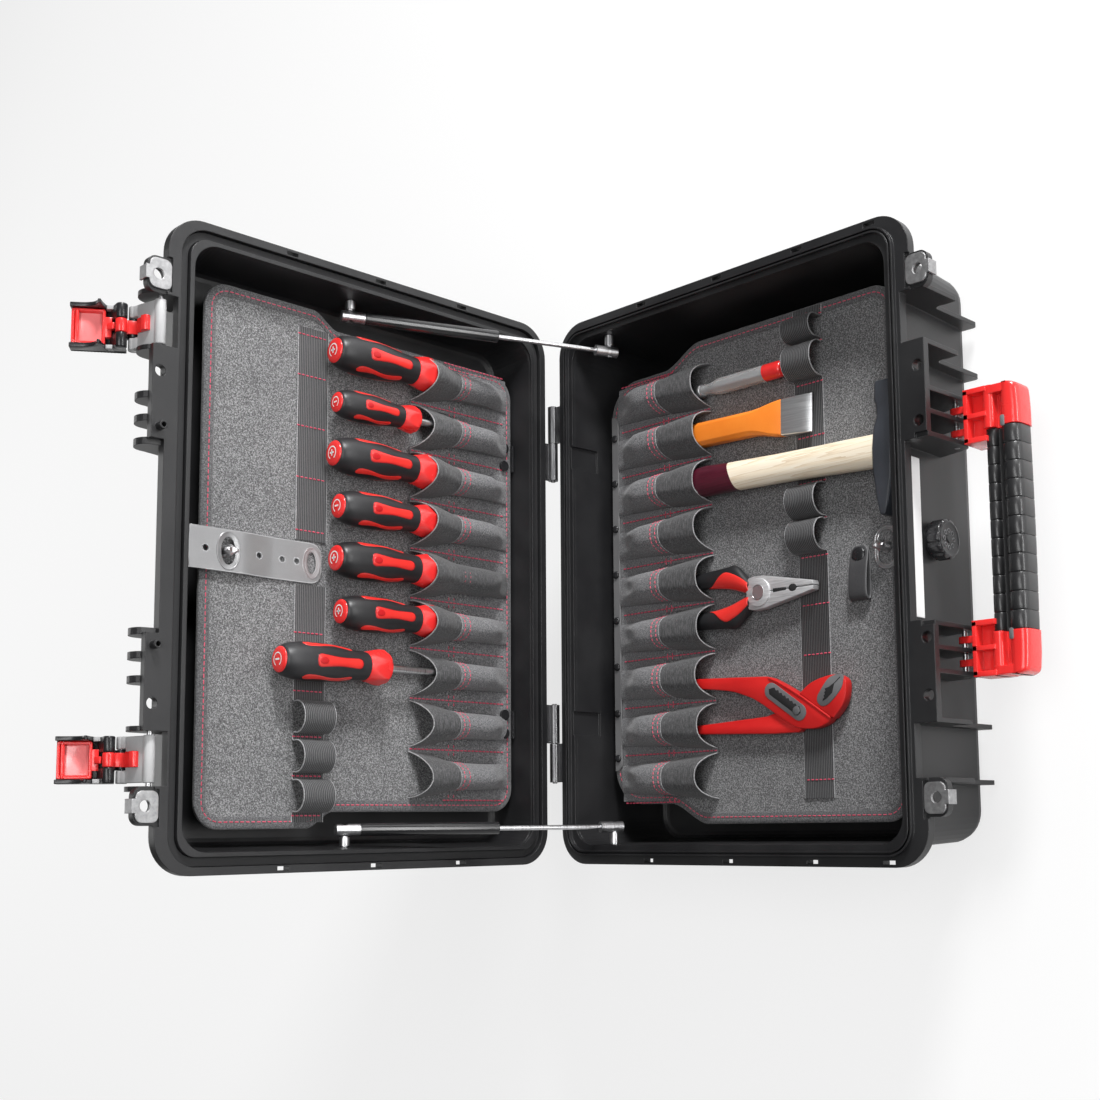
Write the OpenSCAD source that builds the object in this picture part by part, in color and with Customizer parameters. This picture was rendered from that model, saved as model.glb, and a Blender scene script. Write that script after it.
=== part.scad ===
// Hard tool case, opened flat-bottom down with the lid upright behind it.
// +Z is up, X runs along the hinge and the handle side faces -Y.
// The origin is the middle of the surface that the base rests on.
// Parts of a shell are drawn in (x, u, d): u is the distance from the hinge axis
// towards the handle side, and d is the depth below that shell's rim plane.

/* [Case] */
// Length of both rims along the hinge
rim_l = 474; // [450:2:520]
// Width of both rims from the hinge side to the handle side
rim_w = 366; // [356:2:400]
// Corner radius of the rims
rim_r = 28; // [20:1:36]
// Height of the base from its rest surface to the rim plane
base_h = 115; // [108:1:160]
// Depth of the lid above the rim plane
lid_h = 52; // [48:1:80]
// Angle that the lid stands open
lid_open = 90; // [85:1:95]
// Distance from the hinge axis to the nearest rim edge
hinge_gap = 9; // [8:0.5:12]

/* [Shell walls] */
// Wall thickness of both shells
wall = 4; // [3:0.5:5]
// Inset of the side and hinge walls behind the rim edge
side_inset = 12; // [11:0.5:14]
// Inset of the handle-side wall behind the rim edge
front_inset = 17; // [15:0.5:19]
// Extra inset of the walls at the bottom of a shell
draft = 4; // [2:0.5:5]
// Corner radius of the walls
body_r = 24; // [20:1:28]
// Radius of the edge between walls and bottom
edge_r = 10; // [8:1:14]
// Thickness of the rim flange
flange_t = 8; // [7.5:0.5:10]
// Height of the feet under the base
foot_h = 2.5; // [1.5:0.5:4]

/* [Rim and seal] */
// Width of the flat rim band on the sides
band_side = 6; // [5:0.5:6.5]
// Width of the flat rim band at the handle side
band_front = 10.5; // [9:0.5:11]
// Width of the seal channel in the lid
channel_w = 7; // [6:0.25:7.5]
// Depth of the seal channel
channel_d = 6; // [5:0.5:6.5]
// Thickness of the seal in its channel
seal_t = 2.2; // [1.5:0.1:2.4]
// Height of the tongue on the base rim
tongue_h = 3.2; // [2.5:0.1:3.3]
// Thickness of each of the two tongue walls
tongue_t = 1.4; // [1:0.1:1.6]

/* [Front ears] */
// Reach of the ears beyond the rim edge
ear_out = 10; // [8:0.5:12]
// Thickness of the ears
ear_t = 6; // [5:0.5:7]
// Inner end of each wide ear, from the middle
ear_x0 = 69; // [65:1:72]
// Width of the latch pocket between the wide ear and the corner ear
latch_gap = 38; // [36:1:42]
// Width of each corner ear
corner_w = 27; // [24:1:30]
// Distance of each corner ear from the end of the rim
corner_in = 35; // [32:1:38]
// Distance of the padlock hole from the outer end of its ear
eye_in = 13.5; // [12:0.5:15]
// Reach of the corner ears beyond the rim edge
corner_out = 15; // [14:0.5:17]
// Radius of the padlock hole in the steel plates
eye_r = 4; // [3:0.25:4.5]
// Thickness of the steel padlock plates
plate_t = 2; // [1.5:0.25:2.5]
// Thickness of the fins on the handle side
fin_t = 3.4; // [2.5:0.1:4]
// Depth of the deep upper part of the fins
fin_deep = 46; // [40:1:60]
// Radius of the locating pegs on the lid
peg_r = 3; // [2.5:0.25:3.5]
// Reach of the locating pegs beyond the rim plane
peg_out = 7; // [4:0.5:8]

/* [Hinges] */
// Distance of each hinge's middle from the end of the rim
hinge_in = 103.5; // [90:0.5:120]
// Length of one hinge knuckle
knuckle_l = 33.6; // [24:0.2:40]
// Outer radius of a hinge knuckle
knuckle_r = 4.4; // [3.6:0.1:5]
// Radius of the hinge pin
hinge_pin_r = 2; // [1.5:0.1:2.5]

/* [Gas struts] */
// Distance of the struts from the inner side walls
strut_in = 15; // [14:0.5:17]
// Radius of the strut rod
rod_r = 2; // [1.5:0.25:3]
// Radius of the strut cylinder
cyl_r = 5; // [4:0.25:6]
// Length of the strut cylinder
cyl_l = 114; // [104:1:116]
// Distance of the base ball stud from the hinge
stud_base_u = 62; // [60:1:64]
// Depth of the base ball stud
stud_base_d = 10; // [8:1:14]
// Distance of the lid ball stud from the hinge
stud_lid_u = 204; // [202:1:208]
// Depth of the lid ball stud
stud_lid_d = 21; // [18:1:22]

/* [Latches] */
// Width of each latch
latch_w = 33; // [28:0.5:35]
// Distance of the latch pivot from the rim edge
latch_pin_out = 1; // [0:0.5:3]
// Depth of the latch pivot in the lid
latch_pin_d = 8; // [7:0.5:10]
// Length of the latch arm between its two pivots
latch_arm_l = 28; // [24:0.5:30]
// Length of the latch lever
latch_lever_l = 44; // [38:1:52]
// Angle by which each open latch arm hangs back from straight out
latch_arm_rest = 78; // [64:1:82]
// Angle by which each open latch lever hangs back from straight out
latch_lever_rest = 34; // [24:1:44]

/* [Handle] */
// Radius of the handle pins
handle_pin_r = 2; // [1.5:0.25:2.5]
// Depth of the handle pivot below the base rim
handle_d = 51; // [48:1:54]
// Distance of the handle pivot beyond the rim edge
handle_out = 3.5; // [2:0.5:4]
// Reach of the grip from the pivot
handle_reach = 56; // [50:1:58]
// Depth of the grip's section
grip_u = 28; // [22:1:30]
// Height of the grip's section
grip_d = 24; // [20:1:26]
// Place of the innermost handle fin
handle_x0 = 67.5; // [66:0.5:70]
// Spacing of the handle fins
handle_fin_pitch = 16.8; // [15:0.1:18]

/* [Valve and label] */
// Radius of the pressure valve cap
valve_r = 15; // [11:0.5:16]
// Reach of the pressure valve cap
valve_t = 12; // [6:0.5:12]
// Length of the blank label plate
label_l = 118; // [90:1:124]
// Height of the blank label plate
label_h = 20; // [14:1:24]

/* [Boards] */
// Thickness of both tool boards
board_t = 4; // [3:0.5:5]
// Depth of the lid board's face
lid_board_d = 24; // [23:0.5:28]
// Depth of the base board's face
base_board_d = 42; // [40:0.5:56]
// Gap between both boards and the inner side walls
board_gap = 16; // [14:1:20]
// How much the lid board narrows on each side at the hinge side
lid_board_step = 13; // [12:1:15]
// How much the base board narrows on each side at the hinge side
base_board_step = 18; // [16:1:18]
// Start of the lid board from the hinge
lid_board_u0 = 29; // [28:0.5:31]
// End of the lid board from the hinge
lid_board_u1 = 332; // [326:1:336]
// Start of the base board from the hinge
base_board_u0 = 33; // [30:0.5:35]
// End of the base board from the hinge
base_board_u1 = 334; // [330:1:338]

/* [Pockets and elastic] */
// Thickness of the pocket fabric
fabric_t = 1.5; // [1:0.1:2]
// Straight height of a pocket below its arch
pocket_leg = 2.5; // [2:0.25:4]
// Pitch of the lid pockets
lid_pitch = 41.4; // [40.5:0.1:41.6]
// Distance of the first lid seam from the board's side
lid_pocket_in = 2; // [1.5:0.5:4]
// Seam tips of the lid pockets from the hinge
lid_pocket_tip = 142; // [136:1:146]
// Depth of the scooped mouths of the lid pockets
lid_scoop = 25; // [18:1:30]
// Pitch of the base pockets
base_pitch = 41; // [40:0.1:41.2]
// Distance of the first base seam from the board's side
base_pocket_in = 4; // [2:0.5:5]
// Seam tips of the base pockets from the hinge
base_pocket_tip = 152; // [146:1:156]
// Depth of the scooped mouths of the base pockets
base_scoop = 11; // [6:1:18]
// Start of the lid's elastic band from the hinge
lid_elastic_u = 223; // [222:1:226]
// Width of the lid's elastic band
lid_elastic_w = 28; // [20:1:32]
// Start of the base's elastic band from the hinge
base_elastic_u = 239; // [237:1:242]
// Width of the base's elastic band
base_elastic_w = 28; // [24:1:30]
// Height of the lid's elastic loops
loop_h = 18; // [17.5:0.5:20]
// Width of the lid's elastic loops
loop_w = 26; // [22:1:27]
// Height of the base's elastic loops
base_loop_h = 19; // [18.5:0.5:20]

/* [Strap and studs] */
// Width of the lid's retaining strap
strap_w = 32; // [26:1:36]
// Thickness of the strap
strap_t = 1.3; // [1:0.1:1.4]
// Height of the strap over the board
strap_lift = 4; // [3.5:0.5:5]
// Distance of the strap hinge from the case hinge
strap_hinge_u = 347; // [345:0.5:348]
// Length of the strap
strap_l = 119.5; // [118:0.5:120]
// Distance of the lid's turn stud from the hinge
lid_stud_u = 311; // [308:1:314]
// Distance of the base's turn stud from the hinge
base_stud_u = 321; // [316:1:322]
// Length of a turn stud's wing
wing_l = 10; // [8:0.5:10.5]

/* [Tools] */
// Radius of a screwdriver grip
grip_r = 15; // [11:0.5:15]
// Radius of a screwdriver blade
blade_r = 3; // [2:0.25:3.5]
// Gap between the tools and the board
tool_lift = 1.8; // [1.6:0.1:2.2]
// Gap between the screwdriver grips and the lid board
driver_lift = 2; // [1.9:0.1:2.2]
// Length of a screwdriver grip
driver_l = 98; // [80:1:104]
// How far the screwdriver tips stop short of the pocket ends
blade_stop = 18; // [0:1:30]
// Width of the hammer head
hammer_w = 102; // [80:1:104]
// Length of the chisel
chisel_l = 185; // [150:1:195]
// Length of the combination pliers
comb_l = 180; // [160:1:184]
// Length of the water pump pliers
pump_l = 218; // [200:1:220]

/* [Hidden] */
$fn = 48;
clear = 0.3;          // gap between pieces that pass or seat on each other
fit = 0.04;           // radial running fit of pins in bores
eps = 0.6;            // overlap inside one solid
snug = 0.1;           // gap between a piece and the groove that locates it
hull_fn = 32;

rim_z = base_h;
hinge_y = rim_w / 2 + hinge_gap;
u_rim = hinge_gap + rim_w;                       // handle-side rim edge
in_x = rim_l / 2 - side_inset - wall;            // inner side walls
in_back = hinge_gap + side_inset + wall;         // inner hinge-side wall
in_front = u_rim - front_inset - wall;           // inner handle-side wall
front_wall = u_rim - front_inset;                // outer handle-side wall at the rim
corner_x1 = rim_l / 2 - corner_in;
corner_x0 = corner_x1 - corner_w;
eye_x = corner_x1 - eye_in;
ear_x1 = corner_x0 - latch_gap;
peg_x = ear_x0 + 8.5;                            // middle of the locating pegs
pocket_mid = (ear_x1 + corner_x0) / 2;           // middle of a latch pocket
hinge_x = rim_l / 2 - hinge_in;
strut_x = in_x - strut_in;
board_hw = in_x - board_gap;
lid_board_hw = board_hw - lid_board_step;
base_board_hw = board_hw - base_board_step;
lid_pocket_x = lid_board_hw - lid_pocket_in;
base_pocket_x = base_board_hw - base_pocket_in;
// As many whole pockets as the board holds
lid_pocket_n = floor((lid_pocket_x + lid_board_hw) / lid_pitch);
base_pocket_n = floor((base_pocket_x + base_board_hw + 2) / base_pitch);
rim_gap = 0.15;       // half of the gap left between the closed rims
tail = 16;            // flat tail of the pocket fabric at the hinge side

// How far a shell's walls have drawn in at depth d
function drawn_in(d, depth) = draft * (d - 1.2) / (depth - edge_r - 1.2);
base_depth = base_h - foot_h;

function lid_yz(u, d) = [hinge_y - u * cos(lid_open) + d * sin(lid_open),
                         rim_z + u * sin(lid_open) + d * cos(lid_open)];
function base_yz(u, d) = [hinge_y - u, rim_z - d];
function arc(cx, cy, r, a0, a1, n = 8) =
    [for (i = [0 : n]) [cx + r * cos(a0 + (a1 - a0) * i / n), cy + r * sin(a0 + (a1 - a0) * i / n)]];
function ease(t) = t * t * (3 - 2 * t);

// ---- placing ----
module base_frame() translate([0, hinge_y, rim_z]) rotate([180, 0, 0]) children();
module lid_frame() translate([0, hinge_y, rim_z]) rotate([-lid_open, 0, 0]) mirror([0, 1, 0]) children();
module both_sides() { children(); mirror([1, 0, 0]) children(); }
module at(x, u, d) translate([x, u, d]) children();
// A flat plate square to X, from a polygon in (u, d)
module plate_x(x, t) translate([x - t / 2, 0, 0]) rotate([90, 0, 90]) linear_extrude(t) children();
// A round bar along X
module bar_x(x0, x1, r) translate([x0, 0, 0]) rotate([0, 90, 0]) cylinder(r = r, h = x1 - x0);
// A round bar along u
module bar_u(u0, u1, r) translate([0, u0, 0]) rotate([-90, 0, 0]) cylinder(r = r, h = u1 - u0);
module box(x0, x1, u0, u1, d0, d1) translate([x0, u0, d0]) cube([x1 - x0, u1 - u0, d1 - d0]);

module round_rect(x0, x1, u0, u1, r) {
    translate([x0 + r, u0]) square([x1 - x0 - 2 * r, u1 - u0]);
    translate([x0, u0 + r]) square([x1 - x0, u1 - u0 - 2 * r]);
    for (x = [x0 + r, x1 - r], u = [u0 + r, u1 - r]) translate([x, u]) circle(r);
}
module slab(x0, x1, u0, u1, r, d0, d1)
    translate([0, 0, d0]) linear_extrude(d1 - d0) round_rect(x0, x1, u0, u1, r);

// The rim outline, inset by s on three sides and by f at the handle side
module rim_slab(s, f, d0, d1)
    slab(-rim_l / 2 + s, rim_l / 2 - s, hinge_gap + s, u_rim - f, max(rim_r - s, 6), d0, d1);
module rim_ring(s, f, w, d0, d1) difference() {
    rim_slab(s, f, d0, d1);
    rim_slab(s + w, f + w, d0 - 1, d1 + 1);
}

// A drafted tray with a rounded lower edge
module tray(inset, top, bottom, r, er) hull() {
    x = rim_l / 2 - side_inset - inset - r;
    u0 = hinge_gap + side_inset + inset + r;
    u1 = u_rim - front_inset - inset - r;
    for (sx = [-1, 1]) {
        for (u = [u0, u1]) at(sx * x, u, top) cylinder(r = r, h = 1, $fn = hull_fn);
        for (u = [u0 + draft, u1 - draft], a = [0, 30, 60, 90])
            at(sx * (x - draft), u, bottom - er * (1 - sin(a)) - 0.02)
                cylinder(r = r - er * (1 - cos(a)), h = 0.02, $fn = hull_fn);
    }
}

module shell(depth) difference() {
    union() {
        rim_slab(0, 0, rim_gap, flange_t);
        tray(0, 2, depth, body_r, edge_r);
        both_sides() side_pad(depth);
        ear_blocks();
    }
    tray(wall, 0.2, depth - wall, body_r - wall, edge_r - wall);
    slab(-in_x, in_x, in_back, in_front, body_r - wall, -1, 3);
}

// The thickened band on the outside of a side wall
module side_pad(depth) box(rim_l / 2 - side_inset - wall, rim_l / 2 - side_inset + 1.6,
    hinge_gap + 60, u_rim - 70, flange_t - eps, depth * 0.48);

module ear_blocks() both_sides() {
    box(ear_x0, ear_x1, front_wall - 2, u_rim + ear_out, rim_gap, ear_t);
    slab(corner_x0, corner_x1, front_wall - 2, u_rim + corner_out, 7, plate_t, ear_t + 2);
}

// The flange is narrow between the handle's ear blocks
module narrow_front() box(2.5 - handle_x0, handle_x0 - 2.5, u_rim - band_front + 2, u_rim + 5, -1, flange_t + 1);

// Notches in the flange where the latches swing
module latch_notches() both_sides()
    box(ear_x1, corner_x0, u_rim - band_front + 2, u_rim + 30, -1, flange_t + 14);

// The slots through the flange along both sides
module flange_slots(list) for (u = list)
    both_sides() box(rim_l / 2 - 5, rim_l / 2 - 2, u - 5, u + 5, -1, flange_t + 1);

module plate_recess() both_sides()
    box(corner_x0 + 2, corner_x1 + 1, u_rim - 3.5, u_rim + corner_out + 1, -1, plate_t);

module ear_bores() both_sides() {
    for (x = [ear_x1 - 19, peg_x]) at(x, u_rim + 4, -1) cylinder(r = 4.1, h = ear_t + 2);
    at(eye_x, u_rim + 7, 0) cylinder(r = eye_r + 2, h = 60);
}

// ---- base ----
fin_shallow = 8;       // reach of a fin's lower part from the wall
function fin_outline(out, deep, length) = concat(
    [[front_wall - 2, 2], [u_rim + out, 2], [u_rim + out, deep]],
    arc(front_wall + fin_shallow + 6, deep + 6, 6, -60, -180, 6),
    arc(front_wall + fin_shallow - 4, length - 4, 4, 0, 90, 4),
    [[front_wall - draft - 3, length], [front_wall - draft - 3, length - 20]]);
handle_u = u_rim + handle_out;
function handle_fin() = concat(
    [[front_wall - 2, 2], [u_rim + ear_out, 2]],
    [[handle_u + 8, handle_d - 4]],
    arc(handle_u, handle_d, 8, 0, 90, 6),
    [[front_wall - draft + 1, handle_d + 14]]);

module base_shell() color("#3a3b3d") base_frame() difference() {
    union() {
        shell(base_depth);
        tongue();
        both_sides() {
            for (x = [ear_x1 - fin_t / 2, corner_x0 + fin_t / 2])
                plate_x(x, fin_t) polygon(fin_outline(ear_out, fin_deep, base_depth - 4));
            for (i = [0 : 2])
                plate_x(handle_x0 + i * handle_fin_pitch, fin_t) polygon(handle_fin());
            board_ledges();
        }
        rest_pad();
        hinge_lugs();
        valve_seat();
        stud_post();
    }
    latch_notches();
    narrow_front();
    plate_recess();
    ear_bores();
    flange_slots([u_rim - 265, u_rim - 181, u_rim - 100, u_rim - 33]);
    leaf_recess();
    hinge_wall_recesses();
    both_sides() {
        at(0, handle_u, handle_d)
            bar_x(handle_x0 - 4, handle_x0 + 2 * handle_fin_pitch + 4, handle_pin_r + fit);
        at(0, stud_base_u, stud_base_d) bar_x(strut_x, stud_end(stud_base_d, base_depth), stud_r + fit);
    }
    at(0, 0, valve_d) bar_u(front_wall - 3, front_wall + 20, valve_pin_r + 2);
}

module tongue() for (s = [0, 2 * tongue_t])
    rim_ring(band_side + 1.4 + s, band_front + 1.4 + s, tongue_t, -tongue_h, 1);

// Moulded posts that the base board rests on
module board_ledges() {
    for (u = [base_board_u0 + 40, 190, base_board_u1 - 22])
        box(base_board_hw - 14, base_board_hw - 8, u - 3, u + 3,
            base_board_d + board_t + clear, base_depth - wall + 1);
}

// The raised panel that the case rests on
module rest_pad() slab(-rim_l / 2 + 47, rim_l / 2 - 47, hinge_gap + 36, u_rim - 40, 20,
    base_depth - 1, base_h);

lug_w = 2 * knuckle_l + 8;
module hinge_lugs() both_sides()
    box(hinge_x - lug_w / 2, hinge_x + lug_w / 2, hinge_gap, hinge_gap + side_inset + 1, flange_t - 1, 24);
module leaf_recess() both_sides()
    box(hinge_x - knuckle_l - 1, hinge_x + knuckle_l + 1, hinge_gap - 1, hinge_gap + leaf_t, 1, leaf_h);

// Shallow recesses in the inner face of the hinge-side wall
recess_t = 1.8;
recess_d = 30;
module hinge_wall_recesses() both_sides() plate_x(hinge_x - 16.5, 20)
    polygon([[in_back - recess_t, -1], [in_back - recess_t + drawn_in(recess_d, base_depth), recess_d],
        [in_back + 5, recess_d], [in_back + 5, -1]]);

valve_d = 50;
valve_pin_r = 3;
module valve_seat() at(0, 0, valve_d) bar_u(front_wall - draft, front_wall + 1, valve_r - 2);

// The post under the base board that carries the turn stud
stud_pin_r = 2.5;
module stud_post() difference() {
    box(-8, 8, base_stud_u - 8, base_stud_u + 8, base_board_d + board_t + clear, base_depth - wall + 1);
    at(0, base_stud_u, base_board_d + board_t - 1) cylinder(r = stud_pin_r + fit, h = 12);
}

// ---- lid ----
module lid_shell() color("#3a3b3d") lid_frame() difference() {
    union() {
        shell(lid_h);
        both_sides() {
            for (x = [ear_x1 - fin_t / 2, corner_x0 + fin_t / 2])
                plate_x(x, fin_t) polygon(concat([[front_wall - 3, 2]],
                    arc(u_rim, 14, 14, -50, 90, 10), [[front_wall - draft - 2, 34]]));
            for (i = [0 : 2])
                plate_x(handle_x0 + i * handle_fin_pitch, 5) polygon(concat([[front_wall - 3, 2]],
                    arc(u_rim + 1.5, 15, 12.5, -45, 90, 10), [[front_wall - draft - 2, 34]]));
            pegs();
            lid_posts();
        }
        hinge_lugs();
        back_ribs();
    }
    rim_ring(band_side, band_front, channel_w, -1, channel_d);
    latch_notches();
    plate_recess();
    both_sides() {
        at(ear_x1 - 19, u_rim + 4, -1) cylinder(r = 4.1, h = ear_t + 2);
        at(eye_x, u_rim + 7, 0) cylinder(r = eye_r + 2, h = 60);
        at(0, latch_u, latch_pin_d) bar_x(ear_x1 - fin_t - 1, corner_x0 + fin_t + 1, latch_pin_r + fit);
        at(0, stud_lid_u, stud_lid_d) bar_x(strut_x, stud_end(stud_lid_d, lid_h), stud_r + fit);
    }
    flange_slots([u_rim - 270, u_rim - 186, u_rim - 103]);
    leaf_recess();
    strap_recess();
}

module pegs() difference() {
    at(peg_x, u_rim + 4, -peg_out) cylinder(r = peg_r, h = peg_out + 1);
    at(peg_x, u_rim + 4, -peg_out - 1) cylinder(r = peg_r - 1.2, h = peg_out);
}
module lid_posts() for (u = [lid_board_u0 + 18, lid_board_u1 - 18])
    at(lid_board_hw - 14, u, lid_board_d + board_t + clear)
        cylinder(r = 5, h = lid_h - wall - lid_board_d - board_t - clear + 1);
// Stacking panels on the outside of the lid
module back_ribs() both_sides()
    slab(60, rim_l / 2 - 57, hinge_gap + 61, u_rim - 75, 20, lid_h - 1, lid_h + 1.5);
module strap_recess() box(-strap_w / 2 - snug, strap_w / 2 + snug, in_front - 8, in_front + 0.5,
    strap_d - 3 - snug, strap_d + 6 + snug);

module lid_seal() color("#101010") lid_frame()
    rim_ring(band_side + 0.6, band_front + 0.6, channel_w - 1.2, channel_d - seal_t, channel_d);

// ---- hinges ----
leaf_t = 2;
leaf_h = 16;
knuckle_gap = 0.2;
module knuckle(x0) difference() {
    union() {
        bar_x(x0, x0 + knuckle_l - knuckle_gap, knuckle_r);
        box(x0, x0 + knuckle_l - knuckle_gap, 0, hinge_gap + leaf_t, 1, 2.8);
        box(x0, x0 + knuckle_l - knuckle_gap, hinge_gap, hinge_gap + leaf_t, 1, leaf_h);
    }
    bar_x(x0 - 1, x0 + knuckle_l + 1, hinge_pin_r + fit);
}
module base_hinge_leaves() color("silver") base_frame() both_sides() knuckle(hinge_x + knuckle_gap);
module lid_hinge_leaves() color("silver") lid_frame() both_sides() knuckle(hinge_x - knuckle_l);
module hinge_pins() color("gainsboro") base_frame() both_sides()
    bar_x(hinge_x - knuckle_l - 1, hinge_x + knuckle_l + 1, hinge_pin_r);

// ---- padlock plates ----
module padlock_plate() difference() {
    union() {
        slab(corner_x0 + 3, corner_x1 - 2, u_rim - 3, u_rim + corner_out - 1, 5, rim_gap, plate_t - snug);
        box(eye_x - 5, eye_x + 5, u_rim + corner_out - 2, u_rim + corner_out + 1.8, rim_gap, plate_t - snug);
        box(eye_x - 5, eye_x + 5, u_rim + corner_out + 0.3, u_rim + corner_out + 1.8, rim_gap, plate_t + 8);
    }
    at(eye_x, u_rim + 7, -1) cylinder(r = eye_r, h = plate_t + 2);
}
module base_padlock_plates() color("lightgray") base_frame() both_sides() padlock_plate();
module lid_padlock_plates() color("lightgray") lid_frame() both_sides() padlock_plate();

// ---- gas struts ----
stud_r = 2.5;
socket_r = 4.6;
strut_base = base_yz(stud_base_u, stud_base_d);
strut_lid = lid_yz(stud_lid_u, stud_lid_d);
strut_dy = strut_lid[0] - strut_base[0];
strut_dz = strut_lid[1] - strut_base[1];
strut_len = sqrt(strut_dy * strut_dy + strut_dz * strut_dz);
strut_ang = atan2(-strut_dy, strut_dz);
socket_up = 13;
cyl_from = strut_len - 12 - cyl_l;
module strut_place(side) translate([side * strut_x, strut_base[0], strut_base[1]])
    rotate([strut_ang, 0, 0]) children();

collar_r = 4;
// Where a stud ends in a side wall, and where its collar meets that wall
function stud_end(d, depth) = in_x - drawn_in(d, depth) + 2.5;
function collar_end(d, depth) = in_x - drawn_in(d + collar_r, depth) - snug;
module base_strut_studs() color("silver") base_frame() both_sides() at(0, stud_base_u, stud_base_d) {
    bar_x(strut_x - 3, stud_end(stud_base_d, base_depth), stud_r);
    bar_x(strut_x + socket_r + clear, collar_end(stud_base_d, base_depth), collar_r);
}
module lid_strut_studs() color("silver") lid_frame() both_sides() at(0, stud_lid_u, stud_lid_d) {
    bar_x(strut_x + socket_r + clear, stud_end(stud_lid_d, lid_h), stud_r);
    bar_x(strut_x + socket_r + clear + 1, collar_end(stud_lid_d, lid_h), collar_r);
}

module strut_rod(side) color("silver") strut_place(side) difference() {
    union() {
        translate([0, 0, -7]) cylinder(r = socket_r, h = 7 + socket_up);
        cylinder(r = rod_r, h = cyl_from + 8);
    }
    bar_x(-10, 10, stud_r + fit);
}
module strut_cylinder(side) color("#151515") strut_place(side) difference() {
    translate([0, 0, cyl_from]) cylinder(r = cyl_r, h = cyl_l);
    translate([0, 0, cyl_from - 1]) cylinder(r = rod_r + fit, h = cyl_l - 5);
}
module strut_socket(side) color("silver") strut_place(side) difference() {
    translate([0, 0, cyl_from + cyl_l]) cylinder(r = socket_r, h = strut_len - cyl_from - cyl_l + 7);
    translate([0, 0, strut_len]) bar_x(-10, 10, stud_r + 0.5);
}
module strut_rod_right() strut_rod(1);
module strut_rod_left() strut_rod(-1);
module strut_cylinder_right() strut_cylinder(1);
module strut_cylinder_left() strut_cylinder(-1);
module strut_socket_right() strut_socket(1);
module strut_socket_left() strut_socket(-1);

// ---- latches ----
latch_pin_r = 2;
latch_u = u_rim + latch_pin_out;
lever_u = latch_u + latch_arm_l * cos(latch_arm_rest);
lever_d = latch_pin_d + latch_arm_l * sin(latch_arm_rest);
// Frames on a latch's two pivots: x, then along the arm or lever, then towards its back
module arm_frame(side) lid_frame() at(side * pocket_mid, latch_u, latch_pin_d)
    rotate([latch_arm_rest, 0, 0]) children();
module lever_frame(side) lid_frame() at(side * pocket_mid, lever_u, lever_d)
    rotate([latch_lever_rest, 0, 0]) children();
module latch_pins() color("silver") lid_frame() both_sides()
    at(0, latch_u, latch_pin_d) bar_x(ear_x1 - fin_t - 1, corner_x0 + fin_t + 1, latch_pin_r);

module latch_arm(side) color("#6f7173") arm_frame(side) difference() {
    union() {
        bar_x(-latch_w / 2, latch_w / 2, 4);
        box(-latch_w / 2, latch_w / 2, 0, latch_arm_l - 8, -3.5, 3.5);
        for (x = [-latch_w / 2, latch_w / 2 - 9]) {
            at(0, latch_arm_l, 0) bar_x(x, x + 9, 4);
            box(x, x + 9, latch_arm_l - 9, latch_arm_l, -3.5, 3.5);
        }
    }
    bar_x(-latch_w, latch_w, latch_pin_r + fit);
    at(0, latch_arm_l, 0) bar_x(-latch_w, latch_w, latch_pin_r);
}
module latch_lever_pin(side) color("silver") lever_frame(side) bar_x(-latch_w / 2, latch_w / 2, latch_pin_r);
lever_mid = latch_w / 2 - 9 - clear;
function lever_cheek() = concat([[5.5, 6], [4.6, -4.4]], arc(8, -7, 4.2, 160, 330, 6),
    [[14, -4], [19.5, -3.5], [21, -16], [23, -16]], arc(33, -17.4, 11.6, 140, 80, 6),
    [[latch_lever_l, -5.5], [latch_lever_l, 6]]);
module latch_lever(side) color("#1c1d1f") lever_frame(side) difference() {
    union() {
        bar_x(-lever_mid, lever_mid, 4);
        box(-lever_mid, lever_mid, 0, 9, 1, 4);
        at(0, 8, -7) bar_x(-latch_w / 2, latch_w / 2, 4.2);
        box(-latch_w / 2, latch_w / 2, 6, latch_lever_l, 3, 6);
        for (s = [-1, 1]) plate_x(s * (latch_w / 2 - 1.5), 3) polygon(lever_cheek());
    }
    bar_x(-latch_w, latch_w, latch_pin_r + fit);
}
lock_hw = latch_w / 2 - 3 - clear;
module latch_lock(side) color("#d91e26") lever_frame(side) difference() {
    box(-lock_hw, lock_hw, 15, latch_lever_l - 1, -3, 3 - snug);
    box(-lock_hw + 2, lock_hw - 2, 20, latch_lever_l - 4, -4, 1);
}
module latch_arm_right() latch_arm(1);
module latch_arm_left() latch_arm(-1);
module latch_lever_pin_right() latch_lever_pin(1);
module latch_lever_pin_left() latch_lever_pin(-1);
module latch_lever_right() latch_lever(1);
module latch_lever_left() latch_lever(-1);
module latch_lock_right() latch_lock(1);
module latch_lock_left() latch_lock(-1);

// ---- handle ----
bracket_x0 = handle_x0 - 3.5;
bracket_x1 = handle_x0 + 2 * handle_fin_pitch + 3;
grip_u1 = handle_u + handle_reach;
module handle_pins() color("silver") base_frame() both_sides() at(0, handle_u, handle_d)
    bar_x(handle_x0 - fin_t / 2, handle_x0 + 2 * handle_fin_pitch + fin_t / 2, handle_pin_r);

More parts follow.
